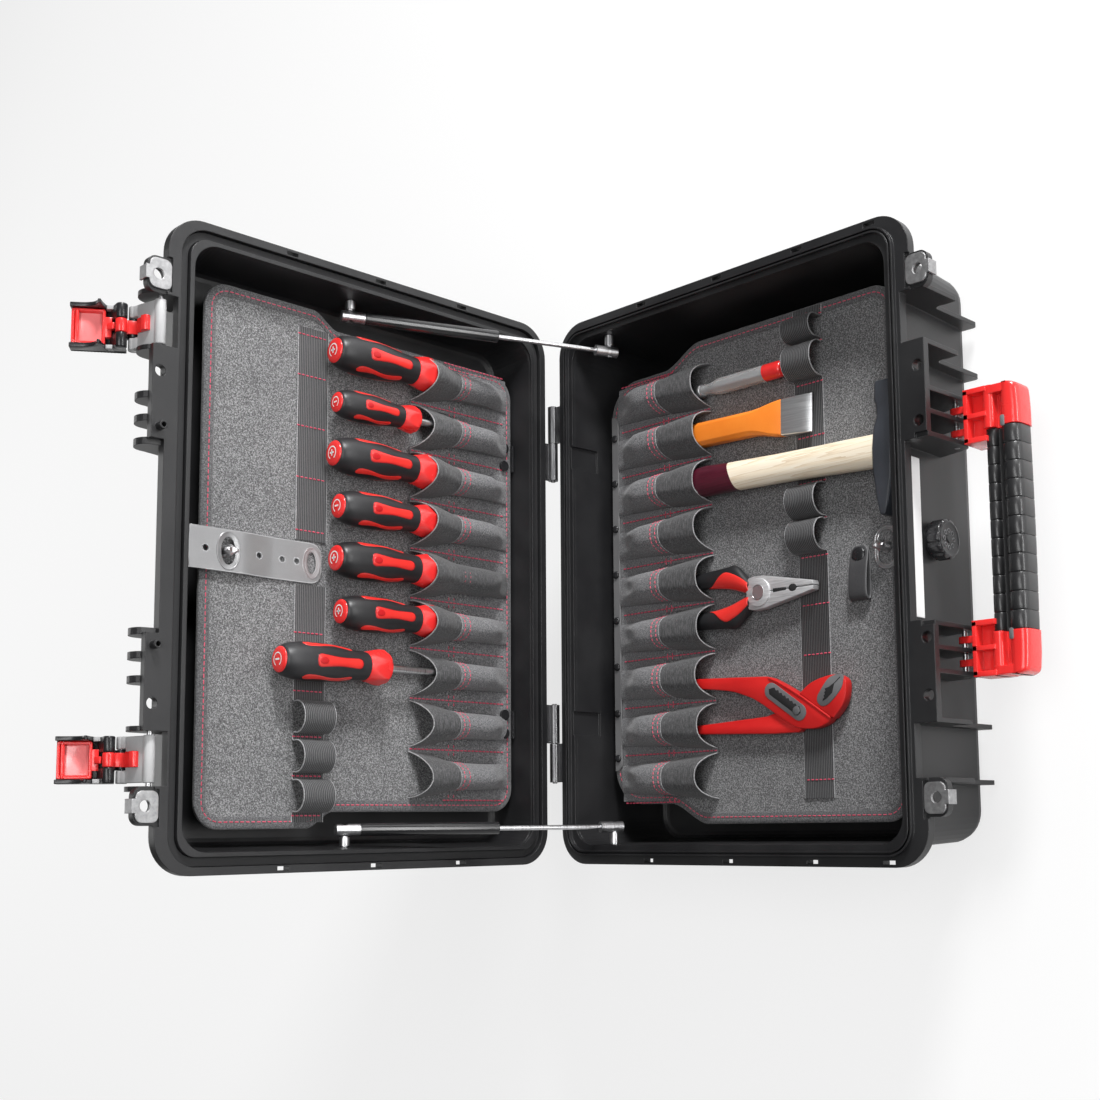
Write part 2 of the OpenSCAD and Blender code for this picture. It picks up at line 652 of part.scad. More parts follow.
module handle_brackets() color("#d91e26") base_frame() both_sides() difference() {
    union() {
        for (i = [0.5, 1.5]) at(0, handle_u, handle_d)
            bar_x(handle_x0 + i * handle_fin_pitch - 2.5, handle_x0 + i * handle_fin_pitch + 2.5, 4.4);
        for (i = [0.5, 1.5])
            box(handle_x0 + i * handle_fin_pitch - 2.5, handle_x0 + i * handle_fin_pitch + 2.5,
                handle_u, handle_u + 15, handle_d - 4, handle_d + 4);
        box(bracket_x0, bracket_x1, handle_u + 13, grip_u1 - grip_u + 1,
            handle_d - grip_d / 2, handle_d + grip_d / 2);
        slab(bracket_x0 - 3, bracket_x1, grip_u1 - grip_u, grip_u1, 9,
            handle_d - grip_d / 2, handle_d + grip_d / 2);
    }
    at(0, handle_u, handle_d) bar_x(0, bracket_x1 + 5, handle_pin_r + fit);
    for (i = [0, 1], s = [-1, 1])
        box(bracket_x0 + 4 + i * 17.5, bracket_x0 + 18 + i * 17.5, handle_u + 16, grip_u1 - grip_u - 2,
            handle_d + (s < 0 ? -grip_d : 3), handle_d + (s < 0 ? -3 : grip_d));
    box(bracket_x0 - 4, bracket_x1 - 6, grip_u1 - grip_u + 8.5, grip_u1 - grip_u + 13,
        handle_d - grip_d / 2 - 1, handle_d + grip_d / 2 + 1);
    box(bracket_x0 - 4, bracket_x0 + 9, grip_u1 - grip_u - 0.1, grip_u1 + 1,
        handle_d - grip_d / 2 - 1, handle_d + grip_d / 2 + 1);
}
module handle_grip() color("#232425") base_frame() difference() {
    union() {
        slab(-bracket_x0 - 9, bracket_x0 + 9, grip_u1 - grip_u, grip_u1 - grip_u + 9, 3,
            handle_d - grip_d / 2 + 3, handle_d + grip_d / 2 - 3);
        slab(-bracket_x0 - 9, bracket_x0 + 9, grip_u1 - grip_u + 12, grip_u1, 4,
            handle_d - grip_d / 2, handle_d + grip_d / 2);
        box(-bracket_x0 - 9, bracket_x0 + 9, grip_u1 - grip_u + 5, grip_u1 - 6, handle_d - 4, handle_d + 4);
    }
    for (i = [-9 : 9], s = [-1, 1])
        box(i * 7 - 0.5, i * 7 + 0.5, grip_u1 - 1, grip_u1 + 1, handle_d - grip_d, handle_d + grip_d);
}

// ---- valve and label ----
label_top = flange_t + 4;
module valve_body() color("#1a1a1a") base_frame() at(0, 0, valve_d) {
    bar_u(front_wall - 3, front_wall + 1, valve_pin_r + 2 - snug);
    bar_u(front_wall, front_wall + valve_t, valve_pin_r);
}
module valve_cap() color("#2a2b2c") base_frame() at(0, 0, valve_d) difference() {
    bar_u(front_wall + 1 + clear, front_wall + 1 + valve_t, valve_r);
    bar_u(front_wall - 1, front_wall + valve_t + 0.6, valve_pin_r + fit);
    for (a = [0 : 36 : 324]) rotate([0, a, 0]) at(valve_r + 1, 0, 0)
        bar_u(front_wall, front_wall + valve_t + 2, 2);
}
module label_plate() color("white") base_frame()
    plate_x(0, label_l) polygon([for (p = [[0, 0], [1, 0], [1, 1], [0, 1]])
        [front_wall - drawn_in(label_top + p[1] * label_h, base_depth) + snug + p[0],
            label_top + p[1] * label_h]]);

// ---- tool boards ----
function board_half(hw, hw_back, u0, u1, s0, s1, rb, rf) = concat(
    arc(hw_back - rb, u0 + rb, rb, -90, 0, 8),
    [for (i = [0 : 6]) [hw_back + (hw - hw_back) * ease(i / 6), s0 + (s1 - s0) * i / 6]],
    arc(hw - rf, u1 - rf, rf, 0, 90, 8));
function mirrored(p) = [for (i = [len(p) - 1 : -1 : 0]) [-p[i][0], p[i][1]]];
function board_outline(p) = concat(p, mirrored(p));

module lid_board() color("#56575a") lid_frame() difference() {
    at(0, 0, lid_board_d) linear_extrude(board_t)
        polygon(board_outline(board_half(board_hw, lid_board_hw, lid_board_u0, lid_board_u1,
            lid_board_u1 - 120, lid_board_u1 - 94, 20, 20)));
    at(0, lid_stud_u, lid_board_d - 1) cylinder(r = stud_pin_r + fit, h = board_t + 2);
}
// The base board has an oval hole for its turn stud
module base_board() color("#56575a") base_frame() difference() {
    at(0, 0, base_board_d) linear_extrude(board_t)
        polygon(board_outline(board_half(board_hw, base_board_hw, base_board_u0, base_board_u1,
            base_board_u0 + 63, base_board_u0 + 107, 32, 20)));
    slab(-ring_x + 4, ring_x - 4, base_stud_u - ring_u + 4, base_stud_u + ring_u - 4, ring_u - 5,
        base_board_d - 1, base_board_d + board_t + 1);
}

// A row of arched pockets, open towards the handle side, with a flat tail sewn to the board
module pocket_row(n, x0, pitch, u_tail, tip, face, depth) {
    u0 = u_tail + tail;
    r = (pitch - 1) / 2;
    scoop = pitch / 2 - 2;
    scoop_u = tip + scoop - depth;
    difference() {
        union() {
            for (i = [0 : n - 1]) at(x0 - (i + 0.5) * pitch, 0, face - pocket_leg) {
                intersection() {
                    bar_u(u0, tip, r);
                    box(-r - 1, r + 1, u0, tip, -r - 1, 0.1);
                }
                box(-r, r, u0, tip, 0, pocket_leg);
            }
            box(x0 - n * pitch, x0, u_tail, tip, face - fabric_t, face);
        }
        for (i = [0 : n - 1]) at(x0 - (i + 0.5) * pitch, 0, face - pocket_leg) {
            bar_u(u0 + fabric_t, tip + 1, r - fabric_t);
            box(-r + fabric_t, r - fabric_t, u0 + fabric_t, tip + 1, 0, pocket_leg + 1);
            at(0, scoop_u, -r - 5) cylinder(r = scoop, h = r + pocket_leg + 4);
            if (scoop_u < tip) box(-scoop, scoop, scoop_u, tip + 1, -r - 5, pocket_leg + 1);
        }
    }
}
module lid_pockets() color("#4b4c4f") lid_frame()
    pocket_row(lid_pocket_n, lid_pocket_x, lid_pitch, lid_board_u0 + 1, lid_pocket_tip, lid_board_d,
        lid_scoop);
module base_pockets() color("#4b4c4f") base_frame()
    pocket_row(base_pocket_n, base_pocket_x, base_pitch, base_board_u0 + 10, base_pocket_tip, base_board_d,
        base_scoop);

// An elastic band that lies flat in runs and stands up in loops
module loop_form(r, h, u0, w) {
    at(0, 0, r - h) intersection() {
        bar_u(u0, u0 + w, r);
        box(-r, r, u0, u0 + w, -r, 0.1);
    }
    box(-r, r, u0, u0 + w, r - h, 0);
}
// Each loop is [its middle, its width]
module elastic(runs, u0, w, face, loops, h) difference() {
    union() {
        for (run = runs) box(run[0], run[1], u0, u0 + w, face - fabric_t, face);
        for (loop = loops) at(loop[0], 0, face) loop_form(loop[1] / 2, h, u0, w);
    }
    for (loop = loops) at(loop[0], 0, face + 1)
        loop_form(loop[1] / 2 - fabric_t, h - fabric_t + 1, u0 - 1, w + 2);
}
module lid_elastic() color("#2f3032") lid_frame()
    elastic([[strap_w / 2 + 1.5, board_hw - 17], [5 - board_hw, -strap_w / 2 - 1.5]], lid_elastic_u,
        lid_elastic_w, lid_board_d,
        [for (i = [0 : 2]) [20 + 30 * i + loop_w / 2 - board_hw - 8, loop_w]], loop_h);
module base_elastic() color("#2f3032") base_frame()
    elastic([[19 - board_hw, board_hw - 2]], base_elastic_u, base_elastic_w, base_board_d,
        [[base_x(0) + 22, 20], [base_x(0) - 4, 30], [base_x(3) + 6, 28], [base_x(3) - 22, 27]], base_loop_h);

snap_t = 2;
snap_x = [127, 111, -109, -125];
module lid_board_snaps() color("#202123") lid_frame() for (x = snap_x)
    at(x, lid_board_u0 + 10, lid_board_d - fabric_t - snap_t) cylinder(r = 4.6, h = snap_t);
// Clips on the hinge-side wall that hold down the edge of the lid board
module lid_board_clips() color("#151617") lid_frame() for (x = [119, -117]) difference() {
    box(x - 12, x + 12, in_back + drawn_in(lid_board_d + board_t, lid_h) + snug, lid_board_u0 + 0.8,
        lid_board_d - 3, lid_board_d + board_t);
    box(x - 13, x + 13, lid_board_u0 - snug, lid_board_u0 + 6, lid_board_d - snug, lid_board_d + board_t + 1);
}

// ---- strap, turn studs and board trim ----
strap_d = lid_board_d - strap_lift;              // middle of the strap at its hinge
strap_low = lid_board_d - clear - strap_t / 2;   // middle of the strap where it lies on the board
ring_x = 17;
ring_u = 11;
module oval(x, u, a, b, d0, d1) at(x, u, d0) slab(-a, a, -b, b, b - 0.01, 0, d1 - d0);
strap_pin_r = 1.2;
module strap_hinge() color("silver") lid_frame() {
    box(-strap_w / 2, strap_w / 2, strap_hinge_u + 3, in_front + 0.4, strap_d - 3, strap_d + 6);
    for (s = [-1, 1]) at(s * (strap_w / 2 - 3) - 3, 0, 0) {
        at(0, strap_hinge_u, strap_d) bar_x(0, 6, 2.8);
        box(0, 6, strap_hinge_u, strap_hinge_u + 4, strap_d - 2, strap_d + 2);
    }
    at(0, strap_hinge_u, strap_d) bar_x(-strap_w / 2, strap_w / 2, strap_pin_r);
}
// The strap lies on the board under the grips and rises to its hinge
strap_rise = [270, 300];
function strap_mid(u) = strap_low + (strap_d - strap_low)
    * ease(min(max((u - strap_rise[0]) / (strap_rise[1] - strap_rise[0]), 0), 1));
strap_us = concat([strap_hinge_u - strap_l], [for (i = [0 : 8]) strap_rise[0]
    + (strap_rise[1] - strap_rise[0]) * i / 8], [strap_hinge_u]);
function strap_side(t) = [for (u = strap_us) [u, strap_mid(u) + t]];
function back(p) = [for (i = [len(p) - 1 : -1 : 0]) p[i]];
module lid_strap() color("#7c7d80") lid_frame() difference() {
    union() {
        at(0, strap_hinge_u, strap_d) bar_x(-strap_w / 2 + 6.3, strap_w / 2 - 6.3, 2.6);
        intersection() {
            plate_x(0, strap_w) polygon(concat(strap_side(-strap_t / 2), back(strap_side(strap_t / 2))));
            union() {
                slab(-strap_w / 2, strap_w / 2, strap_hinge_u - strap_l, strap_hinge_u - 5, 10, 0, 40);
                box(-strap_w / 2 + 6.3, strap_w / 2 - 6.3, strap_hinge_u - 8, strap_hinge_u, 0, 40);
            }
        }
    }
    at(0, strap_hinge_u, strap_d) bar_x(-strap_w, strap_w, strap_pin_r + fit);
    oval(0, lid_stud_u, 12, 7.5, 0, 40);
    for (u = [330, 284, 263, 250]) at(0, u, 0) cylinder(r = 2.2, h = 40);
    oval(0, 236.5, 10, 5.5, 0, 40);
}
module turn_stud(u, face, top) at(0, u, 0) {
    at(0, 0, face - 1) cylinder(r = stud_pin_r, h = board_t);
    at(0, 0, top + 3) cylinder(r = 4, h = face - top - 3);
    box(-2, 2, -wing_l / 2, wing_l / 2, top - 5, top + 4);
}
module lid_turnlock() color("silver") lid_frame() turn_stud(lid_stud_u, lid_board_d - clear, strap_d - 4);
module base_turnlock() color("silver") base_frame() at(0, base_stud_u, 0) {
    at(0, 0, base_board_d - 4) cylinder(r = stud_pin_r, h = board_t + 12);
    at(0, 0, base_board_d - 5) cylinder(r = 4, h = board_t + 5);
    box(-2, 2, -wing_l / 2, wing_l / 2, base_board_d - 14, base_board_d - 4);
}
rail_x = base_board_hw - 29;
module base_board_rail() color("#77787b") base_frame() difference() {
    box(-rail_x, rail_x, base_board_u0 + 1, base_board_u0 + 9.5, base_board_d - 2, base_board_d);
    for (x = rivet_x) at(x, base_board_u0 + 5, base_board_d - 3) cylinder(r = 1.6 + snug, h = 4);
}
rivet_x = [138, 97, 56, 15, -26, -67, -108, -147];
module base_board_rivets() color("silver") base_frame() {
    for (x = rivet_x) at(x, base_board_u0 + 5, base_board_d - 3.4) {
        cylinder(r = 3, h = 1.4);
        cylinder(r = 1.6, h = 3.4);
    }
    difference() {
        oval(0, base_stud_u, ring_x, ring_u, base_board_d - 1.6, base_board_d);
        oval(0, base_stud_u, ring_x - 4, ring_u - 4, base_board_d - 3, base_board_d + 1);
    }
}
module pull_tab() color("#55565a") base_frame() difference() {
    slab(-38, 4, base_stud_u - 31, base_stud_u - 15, 7, base_board_d - 8, base_board_d);
    slab(-33, -8, base_stud_u - 32, base_stud_u - 14, 1, base_board_d - 6, base_board_d - 2);
}

// ---- tools ----
driver_axis = lid_board_d - driver_lift - grip_r;
function driver_x(i) = lid_pocket_x - (i + 0.5) * lid_pitch;
driver_u = [131, 148, 131, 131, 128, 128, 177];
driver_size = [1, 0.8, 1, 0.95, 1, 0.95, 1];
blade_u = lid_board_u0 + 1 + tail + fabric_t + clear + blade_stop;
collar_l = 20;        // length of the six-sided collar
neck_k = 0.74;        // the grip's neck and
collar_k = 0.92;      // the collar's corners, as shares of the grip's radius
module screwdriver(i) lid_frame() at(driver_x(i), driver_u[i], driver_axis) rotate([-90, 0, 0]) {
    s = driver_size[i];
    l = driver_l * s;
    r = grip_r * s;
    color("#1c1c1e") rotate_extrude() polygon([[0, collar_l * s], [neck_k * r, collar_l * s],
        [0.78 * r, 0.3 * l], [r, 0.58 * l], [r, 0.84 * l], [0.88 * r, 0.94 * l], [0.6 * r, l], [0, l]]);
    color("#d91e26") translate([0, 0, 3 * s]) linear_extrude((collar_l - 3) * s - 1)
        polygon([for (a = [14 : 60 : 314]) collar_k * r * [cos(a), sin(a)]]);
    color("#d91e26") cylinder(r = neck_k * r, h = collar_l * s + eps);
    color("silver") translate([0, 0, blade_u - driver_u[i]])
        cylinder(r = blade_r, h = driver_u[i] - blade_u + eps);
}
module screwdriver_1() screwdriver(0);
module screwdriver_2() screwdriver(1);
module screwdriver_3() screwdriver(2);
module screwdriver_4() screwdriver(3);
module screwdriver_5() screwdriver(4);
module screwdriver_6() screwdriver(5);
module screwdriver_7() screwdriver(6);

function base_x(i) = base_pocket_x - (i + 0.5) * base_pitch;
base_floor = base_board_d - tool_lift;
tester_r = 7;
tester_butt = 92;     // start of the tester's handle in its pocket
tester_gap = 4;       // gap between the tester's cap and the elastic band
module voltage_tester() color("#b9c4c8") base_frame() at(base_x(0) - 6, 0, base_floor - tester_r) {
    bar_u(tester_butt, base_elastic_u - tester_gap, tester_r);
    bar_u(base_board_u0 + 10 + tail + fabric_t + clear, tester_butt, 2);
}
chisel_butt = 75;     // end of the chisel in its pocket
chisel_lean = 1.5;     // the chisel leans a little in its pocket
chisel_w = 20;        // width of the shank
chisel_edge_w = 31;   // width of the blade
chisel_t = 14;
module cold_chisel() color("#ee7a1a") base_frame() at(base_x(1) - 1, chisel_butt, base_floor - chisel_t)
    rotate([0, 0, chisel_lean]) linear_extrude(chisel_t) polygon([for (s = [-1, 1], i = [0 : 3])
        let(j = s < 0 ? i : 3 - i) [s * [chisel_w, chisel_w, chisel_edge_w - 1, chisel_edge_w][j] / 2,
            [0, chisel_l - 56, chisel_l - 28, chisel_l][j]]]);
hammer_u = 325;       // start of the hammer head
hammer_head_u = 20;   // size of the hammer head along its handle
hammer_head_t = 24;   // height of the hammer head over the board
hammer_butt = 72;     // end of the handle in its pocket
hammer_lean = 2.2;    // the hammer leans a little in its pocket
hammer_axis = base_board_d - clear - hammer_head_t / 2;
module hammer_place() base_frame() at(base_x(2), hammer_butt, hammer_axis)
    rotate([0, 0, hammer_lean]) at(0, -hammer_butt, 0) children();
module hammer_handle() color("#d8b48a") hammer_place() {
    slab(-8, 8, hammer_butt, base_pocket_tip + 7, 4, -4.5, 4.5);
    slab(-13, 13, base_pocket_tip + 0.5, hammer_u, 6, -9, 9);
}
module hammer_head() color("#33373d") hammer_place()
    slab(-hammer_w / 2, hammer_w / 2, hammer_u, hammer_u + hammer_head_u, 3,
        -hammer_head_t / 2, hammer_head_t / 2);

// Outlines of the pliers from their butt, for their real length
function sized(pts, k) = [for (p = pts) p * k];
pliers_x = base_pocket_x - 5 * base_pitch;
pliers_butt = 80;
pliers_t = 12;
pliers_half = [[1, 112], [4, 111], [9, 84], [10, 0], [22, 0], [24, 66], [26, 102], [20, 114], [13.6, 117],
    [13.4, 131], [3.6, 179], [1, 180]];
module combination_pliers() color("#c9cbcd") base_frame() at(pliers_x, pliers_butt, base_floor - pliers_t)
    linear_extrude(pliers_t) polygon(sized(concat(pliers_half, mirrored(pliers_half)), comb_l / 180));
pump_x = base_pocket_x - 7 * base_pitch;
pump_butt = 70;
pump_t = 10;
module water_pump_pliers() color("#d91e26") base_frame() at(pump_x, pump_butt, base_floor - pump_t)
    linear_extrude(pump_t) for (part = [
        // upper arm with the lower jaw, upper jaw, lower arm
        [[18, 0], [17, 92], [14, 143], [10, 153], [-3, 175], [-22, 204], [-27, 198], [-29, 188], [-28, 170],
            [-22, 159], [-4, 131], [2, 117], [5, 107], [8, 85], [9, 0]],
        [[-4, 173], [6, 184], [10, 198], [10, 211], [6, 217], [0, 218], [-12, 214], [-23, 204], [-20, 196]],
        [[-20, 0], [-20, 67], [-16, 142], [-13, 152], [-26, 176], [-31, 172], [-31, 144], [-27, 67], [-27, 0]]])
        polygon(sized(part, pump_l / 218));

base_shell();
base_hinge_leaves();
hinge_pins();
base_padlock_plates();
base_strut_studs();
handle_pins();
valve_body();
label_plate();
lid_shell();
lid_seal();
lid_hinge_leaves();
lid_padlock_plates();
lid_strut_studs();
latch_pins();
lid_board();
lid_pockets();
lid_elastic();
lid_board_snaps();
lid_board_clips();
strap_hinge();
lid_strap();
lid_turnlock();
strut_rod_right();
strut_rod_left();
strut_cylinder_right();
strut_cylinder_left();
strut_socket_right();
strut_socket_left();
latch_arm_right();
latch_arm_left();
latch_lever_pin_right();
latch_lever_pin_left();
latch_lever_right();
latch_lever_left();
latch_lock_right();
latch_lock_left();
handle_brackets();
handle_grip();
valve_cap();
base_board();
base_board_rail();
base_board_rivets();
base_pockets();
base_elastic();
pull_tab();
base_turnlock();
screwdriver_1();
screwdriver_2();
screwdriver_3();
screwdriver_4();
screwdriver_5();
screwdriver_6();
screwdriver_7();
voltage_tester();
cold_chisel();
hammer_handle();
hammer_head();
combination_pliers();
water_pump_pliers();
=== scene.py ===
"""An open tool case with two boards of hand tools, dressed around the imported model.

Lengths are in mm until a point is placed; base() and lid() turn them into metres in the CAD frame.
"""
import math
import random
import bpy
import bmesh
from mathutils import Matrix, Vector


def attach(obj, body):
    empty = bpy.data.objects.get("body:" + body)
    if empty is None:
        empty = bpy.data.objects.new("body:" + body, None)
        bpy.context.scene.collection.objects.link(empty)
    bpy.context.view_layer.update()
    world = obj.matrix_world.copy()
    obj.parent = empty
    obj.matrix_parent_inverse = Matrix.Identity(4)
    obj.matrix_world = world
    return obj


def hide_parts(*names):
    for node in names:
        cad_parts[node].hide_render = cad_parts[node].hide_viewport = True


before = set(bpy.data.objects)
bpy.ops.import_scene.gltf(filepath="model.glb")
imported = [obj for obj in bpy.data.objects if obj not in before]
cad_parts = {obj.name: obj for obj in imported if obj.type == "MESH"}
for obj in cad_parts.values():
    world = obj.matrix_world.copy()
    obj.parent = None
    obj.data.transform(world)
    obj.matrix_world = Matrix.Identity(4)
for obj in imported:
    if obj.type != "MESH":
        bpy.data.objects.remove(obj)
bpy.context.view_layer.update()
scene = bpy.context.scene
MM = 0.001
HINGE_Y, RIM_Z = 192.0, 115.0       # the hinge axis and the rim
LID_FACE, BASE_FACE = 24, 42        # depth of each board's face below its rim


# ---- places: x along the hinge, u away from the hinge axis, d below the rim ----
def base(x, u, d):
    return Vector((x, HINGE_Y - u, RIM_Z - d)) * MM


def lid(x, u, d):
    return Vector((x, HINGE_Y + d, RIM_Z + u)) * MM


def outward(place):
    """The way a board's face looks."""
    return (place(0, 0, -1) - place(0, 0, 0)).normalized()


def ease(t):
    t = min(max(t, 0.0), 1.0)
    return t * t * (3 - 2 * t)


def mix(a, b, t):
    return a + (b - a) * t


def polar(r, t):
    return r * math.cos(t), r * math.sin(t)


def spread(a, b, n):
    """Even steps from a to b, both of them included."""
    return [mix(a, b, k / n) for k in range(n + 1)]


def turns(n):
    """Angles of n points round a circle."""
    return [2 * math.pi * j / n for j in range(n)]


# ---- materials; a colour of two numbers is a grey and its blue ----
class Nodes:
    """A small helper that builds a procedural material."""

    def __init__(self, name):
        self.mat = bpy.data.materials.new(name)
        self.mat.use_nodes = True
        self.tree = self.mat.node_tree
        self.bsdf = self.tree.nodes["Principled BSDF"]

    def add(self, kind, values=None, **props):
        n = self.tree.nodes.new(kind)
        for k, v in props.items():
            setattr(n, k, v)
        for k, v in (values or {}).items():
            if isinstance(v, bpy.types.NodeSocket):
                self.tree.links.new(v, n.inputs[k])
            else:
                n.inputs[k].default_value = v
        return n

    def drive(self, name, out):
        self.tree.links.new(out, self.bsdf.inputs[name])

    def math(self, op, a, b):
        return self.add("ShaderNodeMath", {0: a, 1: b}, operation=op).outputs[0]

    def total(self, first, *rest):
        """Sum of outputs, each times its share."""
        out = self.math("MULTIPLY", *first)
        for part in rest:
            out = self.math("ADD", out, self.math("MULTIPLY", *part))
        return out

    def coords(self):
        return self.add("ShaderNodeTexCoord").outputs["Object"]

    def scaled(self, scale, turn=0.0):
        return self.add("ShaderNodeMapping", {"Vector": self.coords(), "Scale": scale,
                                              "Rotation": (0, 0, turn)}).outputs[0]

    def noise(self, scale, detail=3.0, rough=0.5, vec=None):
        return self.add("ShaderNodeTexNoise", {"Scale": scale, "Detail": detail, "Roughness": rough,
                                               "Vector": vec or self.coords()}).outputs["Fac"]

    def ramp(self, fac, *stops):
        n = self.add("ShaderNodeValToRGB", {"Fac": fac})
        el = n.color_ramp.elements
        while len(el) < len(stops):
            el.new(0.5)
        for e, (at, c) in zip(el, stops):
            e.position = at
            e.color = (*(c if len(c) == 3 else (c[0], *c)), 1)
        return n.outputs["Color"]

    def blend(self, fac, a, b, how="MIX"):
        return self.add("ShaderNodeMix", {0: fac, 6: a, 7: b}, data_type="RGBA", blend_type=how).outputs[2]

    def color(self, out):
        self.drive("Base Color", out)

    def rough(self, fac, low, high):
        self.drive("Roughness", self.add("ShaderNodeMapRange", {"Value": fac, "To Min": low,
                                                                "To Max": high}).outputs[0])

    def bump(self, height, strength, distance, edge=0.0):
        n = self.add("ShaderNodeBump", {"Height": height, "Strength": strength, "Distance": distance})
        if edge:
            round_edge = self.add("ShaderNodeBevel", {"Radius": edge}, samples=4)
            self.tree.links.new(round_edge.outputs[0], n.inputs["Normal"])
        self.drive("Normal", n.outputs[0])

    def set(self, **values):
        for k, v in values.items():
            self.bsdf.inputs[k.replace("_", " ")].default_value = v
        return self.mat


def plastic(name, dark, light, rough, bump, grain=2600, edge=0.0006, coat=0.0, metallic=0.0):
    m = Nodes(name)
    cloud, fine = m.noise(22, 4), m.noise(grain, 2)
    m.color(m.ramp(m.total((cloud, 0.75), (fine, 0.25)), (0.35, dark), (0.65, light)))
    m.rough(cloud, *rough)
    m.bump(fine, bump, 0.0002, edge)
    return m.set(Coat_Weight=coat, Coat_Roughness=0.15, Metallic=metallic)


def metal(name, dark, light, rough=(0.22, 0.42), edge=0.0005, scratch=(40, 40, 900), metallic=1.0):
    m = Nodes(name)
    streak = m.noise(1.0, 4, 0.6, m.scaled(scratch))
    m.color(m.ramp(streak, (0.3, dark), (0.7, light)))
    m.rough(streak, *rough)
    m.bump(streak, 0.06, 0.0001, edge)
    return m.set(Metallic=metallic)


def felt(name, dark, mid, light, thread=0.0):
    m = Nodes(name)
    speck = m.noise(950, 2, 0.7)
    if thread:
        weave = m.noise(1.0, 1, 0.5, m.scaled((180, 1 / thread, 1 / thread)))
        speck = m.total((speck, 0.45), (weave, 0.55))
    shade = m.ramp(m.noise(14, 3), (0.3, (0.82, 0.83)), (0.7, (1.0, 1.0)))
    fibres = m.ramp(speck, (0.34, dark), (0.5, mid), (0.68, light))
    m.color(m.blend(1.0, fibres, shade, "MULTIPLY"))
    m.bump(speck, 0.5, 0.0005)
    return m.set(Roughness=0.92, Sheen_Weight=0.15, Sheen_Roughness=0.6)


def ribbed(name, axis):
    """Elastic web with fine ribs across an axis."""
    m = Nodes(name)
    rib_pitch = 0.0016
    ribs = m.add("ShaderNodeTexWave", {"Scale": 1 / rib_pitch / 20 * 6.2832, "Distortion": 0.6, "Detail": 1.0,
                                       "Detail Scale": 4.0, "Vector": m.coords()}, bands_direction=axis)
    v = m.total((ribs.outputs["Fac"], 0.7), (m.noise(1200, 2), 0.3))
    m.color(m.ramp(v, (0.25, (0.014, 0.015)), (0.75, (0.10, 0.103))))
    m.bump(v, 0.6, 0.0005)
    return m.set(Roughness=0.8, Sheen_Weight=0.1)


def glass(name, tint):
    m = Nodes(name)
    fine = m.noise(900, 2)
    m.color(m.ramp(fine, (0.3, tint), (0.7, tuple(min(1, c * 1.04) for c in tint))))
    m.rough(fine, 0.03, 0.08)
    m.bump(m.noise(160, 2), 0.08, 0.0004)
    return m.set(Transmission_Weight=0.72, IOR=1.12, Coat_Weight=1.0, Coat_Roughness=0.03)


def wood(name):
    """Pale ash with a grain along the case's depth, and a maroon butt with a slanted edge."""
    m = Nodes(name)
    along = m.scaled((1.9, 0.10, 1.9), math.radians(-2.2))
    rings = m.add("ShaderNodeTexWave", {"Scale": 52, "Distortion": 16.0, "Detail": 3.0, "Detail Scale": 1.6,
                                        "Vector": along}, bands_direction="DIAGONAL", wave_profile="SAW")
    fine = m.noise(1500, 2, 0.6, m.scaled((1.0, 0.03, 1.0)))
    v = m.total((rings.outputs["Fac"], 0.34), (m.noise(26, 3, 0.5, along), 0.3), (fine, 0.42))
    pale = m.ramp(v, (0.30, (0.88, 0.80, 0.66)), (0.52, (0.84, 0.73, 0.56)), (0.80, (0.58, 0.42, 0.26)))
    dyed = m.ramp(fine, (0.3, (0.045, 0.003, 0.010)), (0.7, (0.085, 0.005, 0.019)))
    at = m.add("ShaderNodeSeparateXYZ", {0: m.coords()}).outputs
    # the dye ends further up the handle on one side
    slant, dye_end = -0.35, -0.0198
    line = m.math("ADD", at["Y"], m.math("MULTIPLY", at["X"], slant))
    m.color(m.blend(m.math("GREATER_THAN", line, dye_end), pale, dyed))
    m.rough(fine, 0.34, 0.5)
    m.bump(fine, 0.15, 0.0003)
    return m.set(Coat_Weight=0.25, Coat_Roughness=0.2)


SHELL = plastic("case_plastic", (0.008, 0.009), (0.016, 0.017), (0.34, 0.46), 0.08, edge=0.001)
# near-black rubber of the lid seal; the same near-black also paints the shade inside slits, slots and holes
SEAL_AND_GAP_SHADE = plastic("seal_rubber", (0.006, 0.007), (0.012, 0.013), (0.6, 0.75), 0.05, edge=0.0)
BLACK = plastic("gloss_black", (0.010, 0.011), (0.018, 0.020), (0.2, 0.34), 0.03)
GREY = plastic("latch_grey", (0.10, 0.105), (0.15, 0.155), (0.35, 0.5), 0.05)
PALE = plastic("pale_grey_plastic", (0.34, 0.345), (0.42, 0.425), (0.4, 0.55), 0.06)
RED = plastic("red_plastic", (0.70, 0.020, 0.020), (0.82, 0.032, 0.030), (0.2, 0.32), 0.03, coat=0.35)
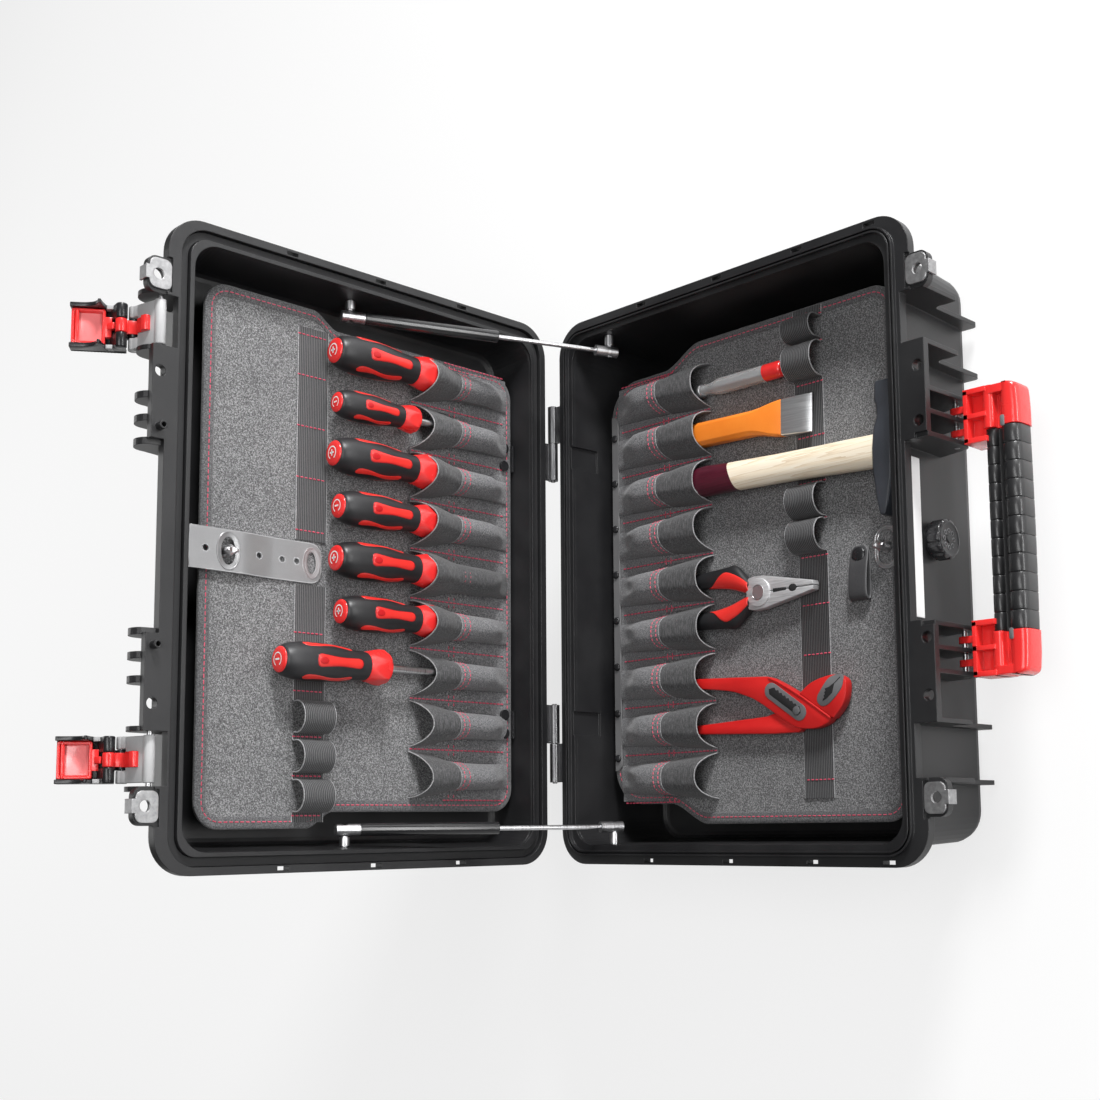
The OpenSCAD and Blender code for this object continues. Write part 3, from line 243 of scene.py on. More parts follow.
# a lighter, pinker copy of the red plastic: a painted highlight on the floor of the latch lock's tray
PAINTED_HIGHLIGHT_RED = plastic("tray_red_painted_highlight", (0.74, 0.17, 0.17), (0.82, 0.22, 0.22), (0.12, 0.22), 0.02, coat=0.6)
DEEP_RED = plastic("deep_red", (0.40, 0.004, 0.006), (0.50, 0.006, 0.010), (0.3, 0.4), 0.04)
INLAY = plastic("inlay_red", (0.62, 0.022, 0.018), (0.74, 0.034, 0.026), (0.26, 0.38), 0.03, coat=0.15)
PUMP = plastic("pliers_red_paint", (0.52, 0.010, 0.010), (0.62, 0.016, 0.014), (0.32, 0.46), 0.08)
ORANGE = plastic("orange_paint", (0.78, 0.20, 0.018), (0.88, 0.27, 0.030), (0.32, 0.5), 0.06)
HEAD = plastic("blue_black_paint", (0.030, 0.034, 0.042), (0.048, 0.053, 0.064), (0.42, 0.55), 0.3, 1500)
GRIP = plastic("grip_rubber", (0.009, 0.010), (0.016, 0.017), (0.34, 0.44), 0.06, coat=0.35)
GRIP_BLACK = plastic("soft_black", (0.010, 0.011), (0.020, 0.022), (0.36, 0.5), 0.06)
BARE = plastic("bare_forged_steel", (0.10, 0.105), (0.17, 0.175), (0.35, 0.5), 0.1)
STRUT = plastic("strut_paint", (0.008, 0.009), (0.014, 0.015), (0.16, 0.28), 0.02, coat=0.3)
LABEL = plastic("white_plate", (0.74, 0.74), (0.82, 0.82), (0.35, 0.45), 0.03)
WHITE = plastic("white_print", (0.70, 0.70), (0.80, 0.80), (0.35, 0.5), 0.02)
RAIL = plastic("rail_grey", (0.105, 0.108), (0.145, 0.148), (0.5, 0.65), 0.25, 1400)
STRAP = plastic("strap_grey", (0.26, 0.265), (0.31, 0.315), (0.30, 0.38), 0.08, 1500, coat=0.4, metallic=0.45)
LEATHER = plastic("tab_leather", (0.030, 0.032), (0.060, 0.063), (0.5, 0.65), 0.4, 900)
LEATHER_EDGE = plastic("leather_edge", (0.12, 0.125), (0.17, 0.175), (0.5, 0.65), 0.2)
THREAD = plastic("pink_thread", (0.62, 0.055, 0.11), (0.78, 0.10, 0.17), (0.6, 0.8), 0.2)
STEEL = metal("zinc_steel", (0.42, 0.43), (0.72, 0.73))
DARK_STEEL = metal("dark_steel", (0.10, 0.105), (0.24, 0.245), (0.3, 0.45))
CHROME = metal("bright_steel", (0.52, 0.53), (0.78, 0.79), (0.24, 0.34), 0.0004)
PLATE = metal("pale_plate", (0.30, 0.305), (0.46, 0.465), (0.42, 0.55), 0.0012, (300, 300, 300))
BLADE = metal("ground_steel", (0.66, 0.67, 0.68), (0.84, 0.85, 0.86), (0.3, 0.46), scratch=(900, 40, 40))
SATIN = metal("satin_steel", (0.50, 0.51), (0.78, 0.79), (0.42, 0.55), scratch=(900, 60, 60), metallic=0.6)
BOARD = felt("board_felt", (0.036, 0.037), (0.122, 0.124), (0.32, 0.325))
POCKET = felt("pocket_felt", (0.020, 0.021), (0.050, 0.052), (0.105, 0.108), thread=0.0011)
CUFF = felt("cuff_felt", (0.055, 0.058), (0.125, 0.13), (0.24, 0.245))
BIND = felt("edge_binding", (0.035, 0.037), (0.085, 0.088), (0.17, 0.175))
EDGE = felt("raw_edge", (0.16, 0.165), (0.27, 0.275), (0.40, 0.405))
ELASTIC_BASE = ribbed("elastic_base", "Y")
ELASTIC_LID = ribbed("elastic_lid", "Z")
CLEAR = glass("clear_plastic", (0.88, 0.90, 0.91))
ASH = wood("ash_and_maroon")


# ---- meshes ----
def sharpen(me, smooth):
    me.polygons.foreach_set("use_smooth", [True] * len(me.polygons))
    me.set_sharp_from_angle(angle=math.radians(smooth))


def new_object(name, verts, faces, body, mats, smooth=35):
    me = bpy.data.meshes.new(name)
    me.from_pydata([tuple(v) for v in verts], [], faces)
    bm = bmesh.new()
    bm.from_mesh(me)
    bmesh.ops.recalc_face_normals(bm, faces=bm.faces)
    bm.to_mesh(me)
    bm.free()
    for m in (mats if isinstance(mats, list) else [mats]):
        me.materials.append(m)
    sharpen(me, smooth)
    ob = bpy.data.objects.new(name, me)
    scene.collection.objects.link(ob)
    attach(ob, body)
    return ob


def shape_up(ob, thick=0.0, offset=0, bevel=0.0, segs=2, angle=50, smooth=None):
    """Gives a mesh its thickness and rounded edges, and applies them."""
    if thick:
        m = ob.modifiers.new("thick", "SOLIDIFY")
        m.thickness = thick * MM
        m.offset = offset
    if bevel:
        m = ob.modifiers.new("bevel", "BEVEL")
        m.width = bevel * MM
        m.segments = segs
        m.limit_method = "ANGLE"
        m.angle_limit = math.radians(angle)
    bpy.context.view_layer.update()
    me = bpy.data.meshes.new_from_object(ob.evaluated_get(bpy.context.evaluated_depsgraph_get()))
    old = ob.data
    ob.modifiers.clear()
    ob.data = me
    bpy.data.meshes.remove(old)
    if smooth:
        sharpen(me, smooth)


class Build:
    """Collects verts and faces of several forms into one mesh."""

    def __init__(self):
        self.v, self.f = [], []

    def grid(self, rows, wrap=0):
        """An open surface over rows of places; with wrap each row closes on itself."""
        n, k0 = len(rows[0]), len(self.v)
        for row in rows:
            self.v.extend(row)
        for i in range(len(rows) - 1):
            for j in range(n - 1 + wrap):
                a, b = k0 + i * n + j, k0 + i * n + (j + 1) % n
                self.f.append((a, b, b + n, a + n))

    def rings(self, rows, caps=True):
        """A skin over rings of places, with a face on both ends."""
        n, k0 = len(rows[0]), len(self.v)
        self.grid(rows, 1)
        if caps:
            self.f.append(tuple(range(k0, k0 + n))[::-1])
            self.f.append(tuple(range(len(self.v) - n, len(self.v))))

    def turned(self, place, x, u, n, profile, caps=True):
        """A form turned about an axis along d, from its radii and depths."""
        self.rings([[place(x + a, u + b, d) for a, b in circle(n, q)] for q, d in profile], caps=caps)

    def tube(self, path, r, n=6):
        """A tube of radius r in mm along a path of places."""
        rows, normal, last = [], None, len(path) - 1
        for i, p in enumerate(path):
            t = (path[min(i + 1, last)] - path[max(i - 1, 0)]).normalized()
            if normal is None:
                normal = t.orthogonal().normalized()
            normal = (normal - t * normal.dot(t)).normalized()
            side = t.cross(normal)
            rows.append([p + normal * a + side * b for a, b in circle(n, r * MM)])
        self.rings(rows)

    def stitches(self, path, up, step=4.6, length=3.2, r=0.42):
        """Dashed thread along a path; up is the way it stands off the cloth."""
        dist = [0.0]
        for a, b in zip(path, path[1:]):
            dist.append(dist[-1] + (b - a).length)
        total = dist[-1] / MM
        count = max(1, int(total / step))

        def at(s):
            s *= MM
            for i in range(len(path) - 1):
                if s <= dist[i + 1] or i == len(path) - 2:
                    t = (s - dist[i]) / max(dist[i + 1] - dist[i], 1e-9)
                    return path[i].lerp(path[i + 1], min(max(t, 0), 1))
        step = total / count
        for k in range(count):
            s0 = k * step + (step - length) / 2
            a, b = at(s0), at(s0 + length)
            t = (b - a).normalized()
            n = (up - t * up.dot(t)).normalized()
            w = t.cross(n)
            rows = []
            for q, h in ((0.0, 0.25), (0.22, 1.0), (0.78, 1.0), (1.0, 0.25)):
                p = a.lerp(b, q)
                rr = r * MM
                rows.append([p - w * rr * (0.6 + 0.4 * h), p + n * rr * h * 1.1, p + w * rr * (0.6 + 0.4 * h),
                             p - n * rr * 0.6])
            self.rings(rows)

    def block(self, place, a0, a1, poly):
        """A plate square to x over an outline in (u, d)."""
        self.rings([[place(a, u, d) for u, d in poly] for a in (a0, a1)])

    def box(self, place, a0, a1, u0, u1, d0, d1):
        self.block(place, a0, a1, [(u0, d0), (u1, d0), (u1, d1), (u0, d1)])

    def barrel(self, place, a0, a1, u, d, r, crown=0.5):
        """A bar along x with rounded ends."""
        rows = []
        for a, q in ((a0, r - crown), (a0 + crown * 0.3, r - crown * 0.3), (a0 + crown, r), (a1 - crown, r),
                     (a1 - crown * 0.3, r - crown * 0.3), (a1, r - crown)):
            rows.append([place(a, u + s, d + t) for s, t in circle(28, q)])
        self.rings(rows)

    def plate(self, place, pts, d0, d1, c=0.8):
        """A plate over an outline in (x, u) with slightly rounded edges; d0 is its upper face."""
        n = len(pts)
        area2 = sum(pts[i][0] * pts[(i + 1) % n][1] - pts[(i + 1) % n][0] * pts[i][1] for i in range(n))
        sgn = 1 if area2 > 0 else -1

        def inset(q):
            out = []
            for i in range(n):
                (x0, u0), (x1, u1), (x2, u2) = pts[i - 1], pts[i], pts[(i + 1) % n]
                a, b = Vector((x1 - x0, u1 - u0)).normalized(), Vector((x2 - x1, u2 - u1)).normalized()
                na, nb = Vector((-a.y, a.x)) * sgn, Vector((-b.y, b.x)) * sgn
                m = na + nb
                m = m / max(m.dot(na), 0.6)
                out.append((x1 + m.x * q, u1 + m.y * q))
            return out
        self.rings([[place(x, u, d) for x, u in inset(q)] for q, d in
                    ((c, d0), (c * 0.3, d0 + c * 0.3), (0, d0 + c), (0, d1 - c), (c * 0.3, d1 - c * 0.3), (c, d1))])

    def object(self, name, body, mats, slot, smooth=35, bevel=0.0, segs=2, node=None):
        """A piece; a name that starts with _ goes on from its body's name."""
        ob = new_object(body + name if name[0] == "_" else name, self.v, self.f, body, mats, smooth)
        if bevel:
            shape_up(ob, bevel=bevel, segs=segs, angle=30, smooth=smooth)
        if node:
            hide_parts(node)
        return ob


def circle(n, r):
    return [polar(r, t) for t in turns(n)]


def arc(a, b, r, t0, t1, n):
    """Points of an arc about (a, b), between two angles in degrees."""
    spots = [polar(r, math.radians(t)) for t in spread(t0, t1, n)]
    return [(a + x, b + y) for x, y in spots]


def rounded(a0, a1, b0, b1, r, n=6):
    """Corner-rounded rectangle, anticlockwise."""
    out = []
    for ca, cb, t0 in ((a1 - r, b1 - r, 0), (a0 + r, b1 - r, 90), (a0 + r, b0 + r, 180), (a1 - r, b0 + r, 270)):
        out += arc(ca, cb, r, t0, t0 + 90, n)
    return out


def smooth_line(pts, n=5):
    """Catmull-Rom curve through points in the plane."""
    out = []
    for i in range(len(pts) - 1):
        p0, p1, p2, p3 = pts[max(i - 1, 0)], pts[i], pts[i + 1], pts[min(i + 2, len(pts) - 1)]
        for k in range(n):
            t = k / n
            out.append(tuple(0.5 * (2 * b + (c - a) * t + (2 * a - 5 * b + 4 * c - d) * t * t
                                    + (3 * b - a - 3 * c + d) * t ** 3)
                             for a, b, c, d in zip(p0, p1, p2, p3)))
    return out + [pts[-1]]


def outline(shape, inset):
    """A board's outline in (x, u), inset by a distance."""
    s = shape
    b, h, r1, r2 = s["hw_back"] - inset, s["hw"] - inset, s["rb"] - inset, s["rf"] - inset
    half = arc(b - r1, s["u0"] + inset + r1, r1, -90, 0, 10)
    half += [(mix(b, h, ease(i / 12)), mix(s["s0"], s["s1"], i / 12)) for i in range(1, 12)]
    half += arc(h - r2, s["u1"] - inset - r2, r2, 0, 90, 10)
    return half + [(-x, u) for x, u in reversed(half)]


# ---- camera, light and floor ----
def camera():
    cam = bpy.data.objects.new("camera", bpy.data.cameras.new("camera"))
    scene.collection.objects.link(cam)
    place, target, roll = Vector((-0.2073, -0.7398, 0.9870)), Vector((-0.0719, 0.0578, 0.1696)), -83.786
    back = (place - target).normalized()
    right = Vector((0, 0, 1)).cross(back).normalized()
    turn = Matrix((right, back.cross(right), back)).transposed() @ Matrix.Rotation(math.radians(roll), 3, "Z")
    cam.matrix_world = Matrix.Translation(place) @ turn.to_4x4()
    cam.data.sensor_width = 36
    cam.data.lens = 47.905
    cam.data.shift_x, cam.data.shift_y = -0.0639, 0.0952
    cam.data.clip_start, cam.data.clip_end = 0.05, 30
    scene.camera = cam


def area(name, place, target, size, power):
    lamp = bpy.data.lights.new(name, "AREA")
    lamp.shape = "RECTANGLE"
    lamp.size, lamp.size_y = size
    lamp.energy = power
    ob = bpy.data.objects.new(name, lamp)
    ob.location = place
    ob.rotation_euler = (Vector(target) - Vector(place)).to_track_quat("-Z", "Y").to_euler()
    scene.collection.objects.link(ob)


def floor():
    """A pale floor that the camera and glossy things see as white."""
    m = Nodes("floor_white")
    m.set(Base_Color=(0.86, 0.86, 0.86, 1), Roughness=0.9)
    m.bump(m.noise(60, 2), 0.02, 0.0005)
    glow = m.add("ShaderNodeEmission", {"Color": (1, 1, 1, 1), "Strength": 1.0})
    ray = m.add("ShaderNodeLightPath").outputs
    seen = m.math("MAXIMUM", ray["Is Camera Ray"], m.math("MULTIPLY", ray["Is Glossy Ray"], 0.3))
    seen = m.math("MAXIMUM", seen, ray["Is Transmission Ray"])
    both = m.add("ShaderNodeMixShader", {0: m.math("MULTIPLY", seen, 0.72), 1: m.bsdf.outputs[0],
                                         2: glow.outputs[0]})
    m.tree.links.new(both.outputs[0], m.tree.nodes["Material Output"].inputs["Surface"])
    me = bpy.data.meshes.new("floor")
    s = 6.0
    me.from_pydata([(-s, -s, 0), (s, -s, 0), (s, s, 0), (-s, s, 0)], [], [(0, 1, 2, 3)])
    me.materials.append(m.mat)
    ob = bpy.data.objects.new("floor", me)
    scene.collection.objects.link(ob)


def world_light():
    """A dim grey world that the camera sees as white."""
    w = bpy.data.worlds.new("studio")
    w.use_nodes = True
    scene.world = w
    nodes, link = w.node_tree.nodes, w.node_tree.links.new
    dim = nodes["Background"]
    dim.inputs["Color"].default_value = (0.9, 0.9, 0.9, 1)
    dim.inputs["Strength"].default_value = 0.14
    seen = nodes.new("ShaderNodeBackground")
    seen.inputs["Color"].default_value = (1, 1, 1, 1)
    both = nodes.new("ShaderNodeMixShader")
    link(nodes.new("ShaderNodeLightPath").outputs["Is Camera Ray"], both.inputs[0])
    link(dim.outputs[0], both.inputs[1])
    link(seen.outputs[0], both.inputs[2])
    link(both.outputs[0], nodes["World Output"].inputs["Surface"])


scene.view_settings.view_transform = "Standard"
camera()
floor()
world_light()
area("key", (1.9, -1.0, 0.95), (0, 0.05, 0.2), (0.45, 0.45), 72)
area("fill", (-0.5, -1.2, 1.9), (0, 0.05, 0.2), (0.7, 0.7), 6)
area("front", (0.1, -1.7, 0.42), (0, -0.1, 0.12), (1.7, 0.22), 15)
area("top", (0.1, -0.75, 2.1), (0, -0.12, 0.1), (1.3, 0.8), 15)
area("back", (0.2, 2.0, 1.0), (0, 0.2, 0.2), (1.4, 1.0), 10)

# ---- materials of the pieces that keep their solids ----
KEPT = {
    SHELL: ["base_shell", "lid_shell", "valve_body"],
    SEAL_AND_GAP_SHADE: ["lid_seal"],
    DARK_STEEL: ["base_hinge_leaves", "lid_hinge_leaves", "hinge_pins"],
    STEEL: ["base_strut_studs", "lid_strut_studs", "handle_pins", "latch_pins", "strut_rod_right", "strut_rod_left",
            "strut_socket_right", "strut_socket_left", "latch_lever_pin_right", "latch_lever_pin_left"],
    PLATE: ["base_padlock_plates", "lid_padlock_plates", "strap_hinge"],
    STRUT: ["strut_cylinder_right", "strut_cylinder_left"],
    LABEL: ["label_plate"],
    BLACK: ["lid_board_snaps", "lid_board_clips"],
}
for mat, nodes in KEPT.items():
    for node in nodes:
        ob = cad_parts[node]
        ob.data.materials.clear()
        ob.data.materials.append(mat)

# ---- boards ----
BOARD_T = 4.0
LID_OUTLINE = dict(hw=205, hw_back=192, u0=29, u1=332, s0=212, s1=238, rb=20, rf=20)
BASE_OUTLINE = dict(hw=205, hw_back=187, u0=33, u1=334, s0=96, s1=140, rb=32, rf=20)


class Board:
    """A tool board in felt, with the cloth and the thread on it."""

    def __init__(self, word, place, body, face, shape):
        self.word, self.place, self.body, self.face = word, place, body, face
        self.up = outward(place)
        hem = [(8, BOARD_T), (1.4, BOARD_T), (0.3, BOARD_T - 0.9), (0, BOARD_T - 2), (0, 0.9), (0.3, 0.2),
               (1.4, -0.4), (3, -0.6), (8.2, -0.6), (9.0, -0.35), (9.4, 0.1)]
        top, self.thread = Build(), Build()
        top.rings([[self.at(x, u, -d) for x, u in outline(shape, i)] for i, d in hem])
        ob = self.put(top, "board_cloth", [BIND, BOARD], "board_fabric", node=word + "_board")
        for p in ob.data.polygons:
            if len(p.vertices) > 4:
                p.material_index = 1
        path = [self.at(x, u, 0.6) for x, u in outline(shape, 5.4)]
        self.thread.stitches(path + path[:1], self.up)

    def at(self, x, u, h):
        """The place h over the board's face."""
        return self.place(x, u, self.face - h)

    def put(self, build, name, mat, slot, **more):
        return build.object(self.word + "_" + name, self.body, mat, slot, **more)

    def pockets(self, x0, pitch, u_lo, u_mid, tip, scoops, heights, seed, rise, held=(), waist=0.8):
        """A row of fabric pockets; those named in held open wider round the tool they hold."""
        rng = random.Random(seed)
        nt, nu, n_cuff = 20, 16, 12
        half, count, narrow = pitch / 2, len(scoops), waist < 0.7
        ts = spread(-1, 1, nt)
        sleeve, cuff, edge, ground = Build(), Build(), Build(), Build()

        def height(t, lean, h):
            s = (t - lean) / (1 - lean) if t > lean else (t - lean) / (1 + lean)
            return h * (1 - min(abs(s), 1) ** 2.9) ** 0.5

        for i, (scoop, h1) in enumerate(zip(scoops, heights)):
            xc = x0 - (i + 0.5) * pitch
            lean = rng.uniform(-0.16, 0.16)
            wob = rng.uniform(-1.2, 1.2) - 1.5 * narrow
            tail = rng.uniform(0.90, 1.0) * (waist - 0.08)
            flare = 10.0 if i in held else 0.0

            def point(t, u, lift=0.0):
                g = ease((u - u_lo) / rise)
                h = mix(0.10, 1.0, g) * h1 + flare * ease((u - u_mid) / (tip - u_mid - 8))
                width = mix(mix(tail, waist, (u - u_lo) / (u_mid - u_lo)), 1.0,
                            ease((u - u_mid + 6) / (tip - u_mid - 2)))
                pinch = (1 - 0.06 * math.sin(math.pi * min(abs(t), 1)) * g) * width
                crease = 1.5 * g * (1 - g) * 4 * math.sin(6.5 * t + 20 * lean + 0.07 * u)
                if narrow:
                    # a narrow pocket bulges past its own foot
                    w = 0.5 * (1 - ease((u - u_mid + 6) / (tip - u_mid - 8)))
                    a = t * (math.pi / 2 + w)
                    across, high = math.sin(a), h * (math.cos(a) + math.sin(w)) / (1 + math.sin(w))
                else:
                    across = math.sin(t * math.pi / 2)
                    high = height(across, lean * g, h)
                x = xc + across * (half - 1.9) * pinch + wob * g * (1 - t * t) + 1.6 * lean * (1 - g)
                return self.at(x, u, 0.5 + max(high + crease * (1 - t * t), 0.0) + lift)

            def mouth(t):
                return tip - 1.0 - scoop * (1 - abs(math.sin(t * math.pi / 2)) ** 1.8) ** 0.75

            sleeve.grid([[point(t, mix(u_lo, mouth(t), q)) for t in ts] for q in spread(0, 1, nu)])
            cuff.grid([[point(t, u, 0.75) for t in ts] for u in spread(u_lo - 0.3, u_mid, n_cuff)])
            edge.tube([point(t, mouth(t) + 0.1, -0.3) for t in ts], 0.5)
            edge.tube([point(t, u_mid + 0.1, 0.5) for t in ts], 0.3)
            for off in (3.0, 8.5):
                seams = [[point(t, u_mid - off, 0.9) for t in ts[1:-1]]]
                seams += [[self.at(xc + side * (half - k * (half * (1 - waist) - 1.0) / 3), u_mid - off, 1.4)
                           for k in range(4)] for side in (-1, 1)]
                for seam in seams:
                    self.thread.stitches(seam, self.up, 3.6, 2.5)
        full = count * pitch
        ground.grid([[self.at(x0 - w * full, u, 0.62) for w in (0.004, 0.5, 0.996)]
                     for u in (u_lo - 1, u_lo + rise * 0.5, u_lo + rise + 8)])
        for i in range(count + 1):
            x, end = x0 - i * pitch, u_mid + 4
            if 0 < i < count:
                end = tip - 0.5
                ground.grid([[self.at(x + w, mix(u_lo + rise, tip + 0.4, q), 0.75 + q) for w in (-3, 0, 3)]
                             for q in spread(0, 1, 4)])
            seam = [self.at(x, mix(u_lo + 2, end, q), 1.3 + q) for q in spread(0, 1, 6)]
            self.thread.stitches(seam, self.up, 4.0, 3.0, 0.55)
        ob = self.put(ground, "pocket_ground", CUFF, "pocket_fabric")
        for b, name, mat, thick, reach, node in (
                (sleeve, "sleeves", POCKET, 1.1, tip - u_lo, self.word + "_pockets"),
                (cuff, "cuffs", CUFF, 0.7, u_mid - u_lo, None)):
            ob = self.put(b, "pocket_" + name, mat, "pocket_fabric", smooth=60, node=node)
            shape_up(ob, thick, -1, smooth=60)
        self.put(edge, "pocket_edges", EDGE, "pocket_fabric")

    def elastic(self, x0, x1, u0, w, loops, loop_h, lines, mat, gap=None):
        """A band from x0 down to x1 that stands up in loops."""
        low = 0.65
        path = [(x0, low)]
        for c, loop_w in loops:
            r = loop_w / 2 - 0.8
            path += [(c + r + 0.9, low), (c + r * 0.97, 2.2), (c + r * 0.99, 5.0)]
            path += [(c + r * math.cos(math.radians(a)), loop_h - r + (r - 0.4) * math.sin(math.radians(a)))
                     for a in range(0, 181, 12)]
            path += [(c - r * 0.99, 5.0), (c - r * 0.97, 2.2), (c - r - 0.9, low)]
        path.append((x1, low))
        runs = [path]
        if gap:
            runs = [[p for p in path if p[0] > gap] + [(gap, low)],
                    [(-gap, low)] + [p for p in path if p[0] < -gap]]
        band, edges = Build(), Build()
        for run in runs:
            band.grid([[self.at(x, u0 + w * k / 6, h + 0.25 * math.sin(k * 1.9)) for k in range(7)]
                       for x, h in run])
            for u in (u0 + 0.2, u0 + w - 0.2):
                edges.tube([self.at(x, u, h + 0.1) for x, h in run], 0.55)
        ob = self.put(band, "elastic_band", mat, "elastic_web", smooth=60, node=self.word + "_elastic")
        shape_up(ob, 1.0, smooth=60)
        self.put(edges, "elastic_band_selvedge", EDGE, "elastic_web")
        for x in lines:
            self.thread.stitches([self.at(x, u, 1.3) for u in (u0 + 2, u0 + w + 1)], self.up, 3.4, 2.6, 0.5)

    def sew(self):
        self.put(self.thread, "board_thread", THREAD, "pocket_fabric")


board = Board("lid", lid, "lid", LID_FACE, LID_OUTLINE)
board.pockets(190, 41.4, 37, 103, 142, [5, 9, 5, 5, 5, 5, 12, 10, 9],
              [22.2, 22, 22.2, 22.2, 22.2, 22.2, 22, 21.5, 22], 3, 33, held=(0, 2, 3, 4, 5), waist=0.64)
board.elastic(188, -200, 223, 28, [(-120, 26), (-150, 26), (-180, 26)], 18,
              [182, 149, 108, 67, 25, -55, -100, -135, -165, -195], ELASTIC_LID, gap=17.5)
board.sew()

board = Board("base", base, "base_board", BASE_FACE, BASE_OUTLINE)
board.pockets(183, 41, 44, 106, 152, [5, 4, 4, 6, 4, 4, 7, 6, 9],
              [21.5, 21, 22.3, 20, 20.5, 20.5, 20, 20, 20.5], 5, 38)
board.elastic(203, -186, 239, 28, [(184.5, 20), (158.5, 30), (45.5, 28), (17.5, 27)], 19,
              [196, 174, 141, 98, 61, 31.5, 2, -36, -75, -115, -172], ELASTIC_BASE)
board.sew()

# ---- screwdrivers ----
DRIVER_PITCH, DRIVER_X0, DRIVER_D, DRIVER_L, DRIVER_R = 41.4, 169.3, 7.0, 98.0, 15.0
DRIVER_U = [131, 148, 131, 131, 128, 128, 177]
DRIVER_SIZE = [1, 0.8, 1, 0.95, 1, 0.95, 1]
SLOTTED = (1, 3, 6)                 # the drivers with a flat tip
BLADE_TIP_U = 65.8
# radius along the handle, as (share of the length from the shaft, share of the largest radius)
GRIP_FORM = [(0.195, 0.74), (0.23, 0.75), (0.30, 0.78), (0.38, 0.84), (0.46, 0.905), (0.54, 0.96), (0.62, 0.99),
             (0.70, 1.0), (0.78, 0.99), (0.86, 0.95), (0.92, 0.88), (0.965, 0.77), (0.985, 0.66)]


def grip_radius(f):
    for (f0, r0), (f1, r1) in zip(GRIP_FORM, GRIP_FORM[1:]):
        if f <= f1:
            return mix(r0, r1, (f - f0) / (f1 - f0))
    return GRIP_FORM[-1][1]


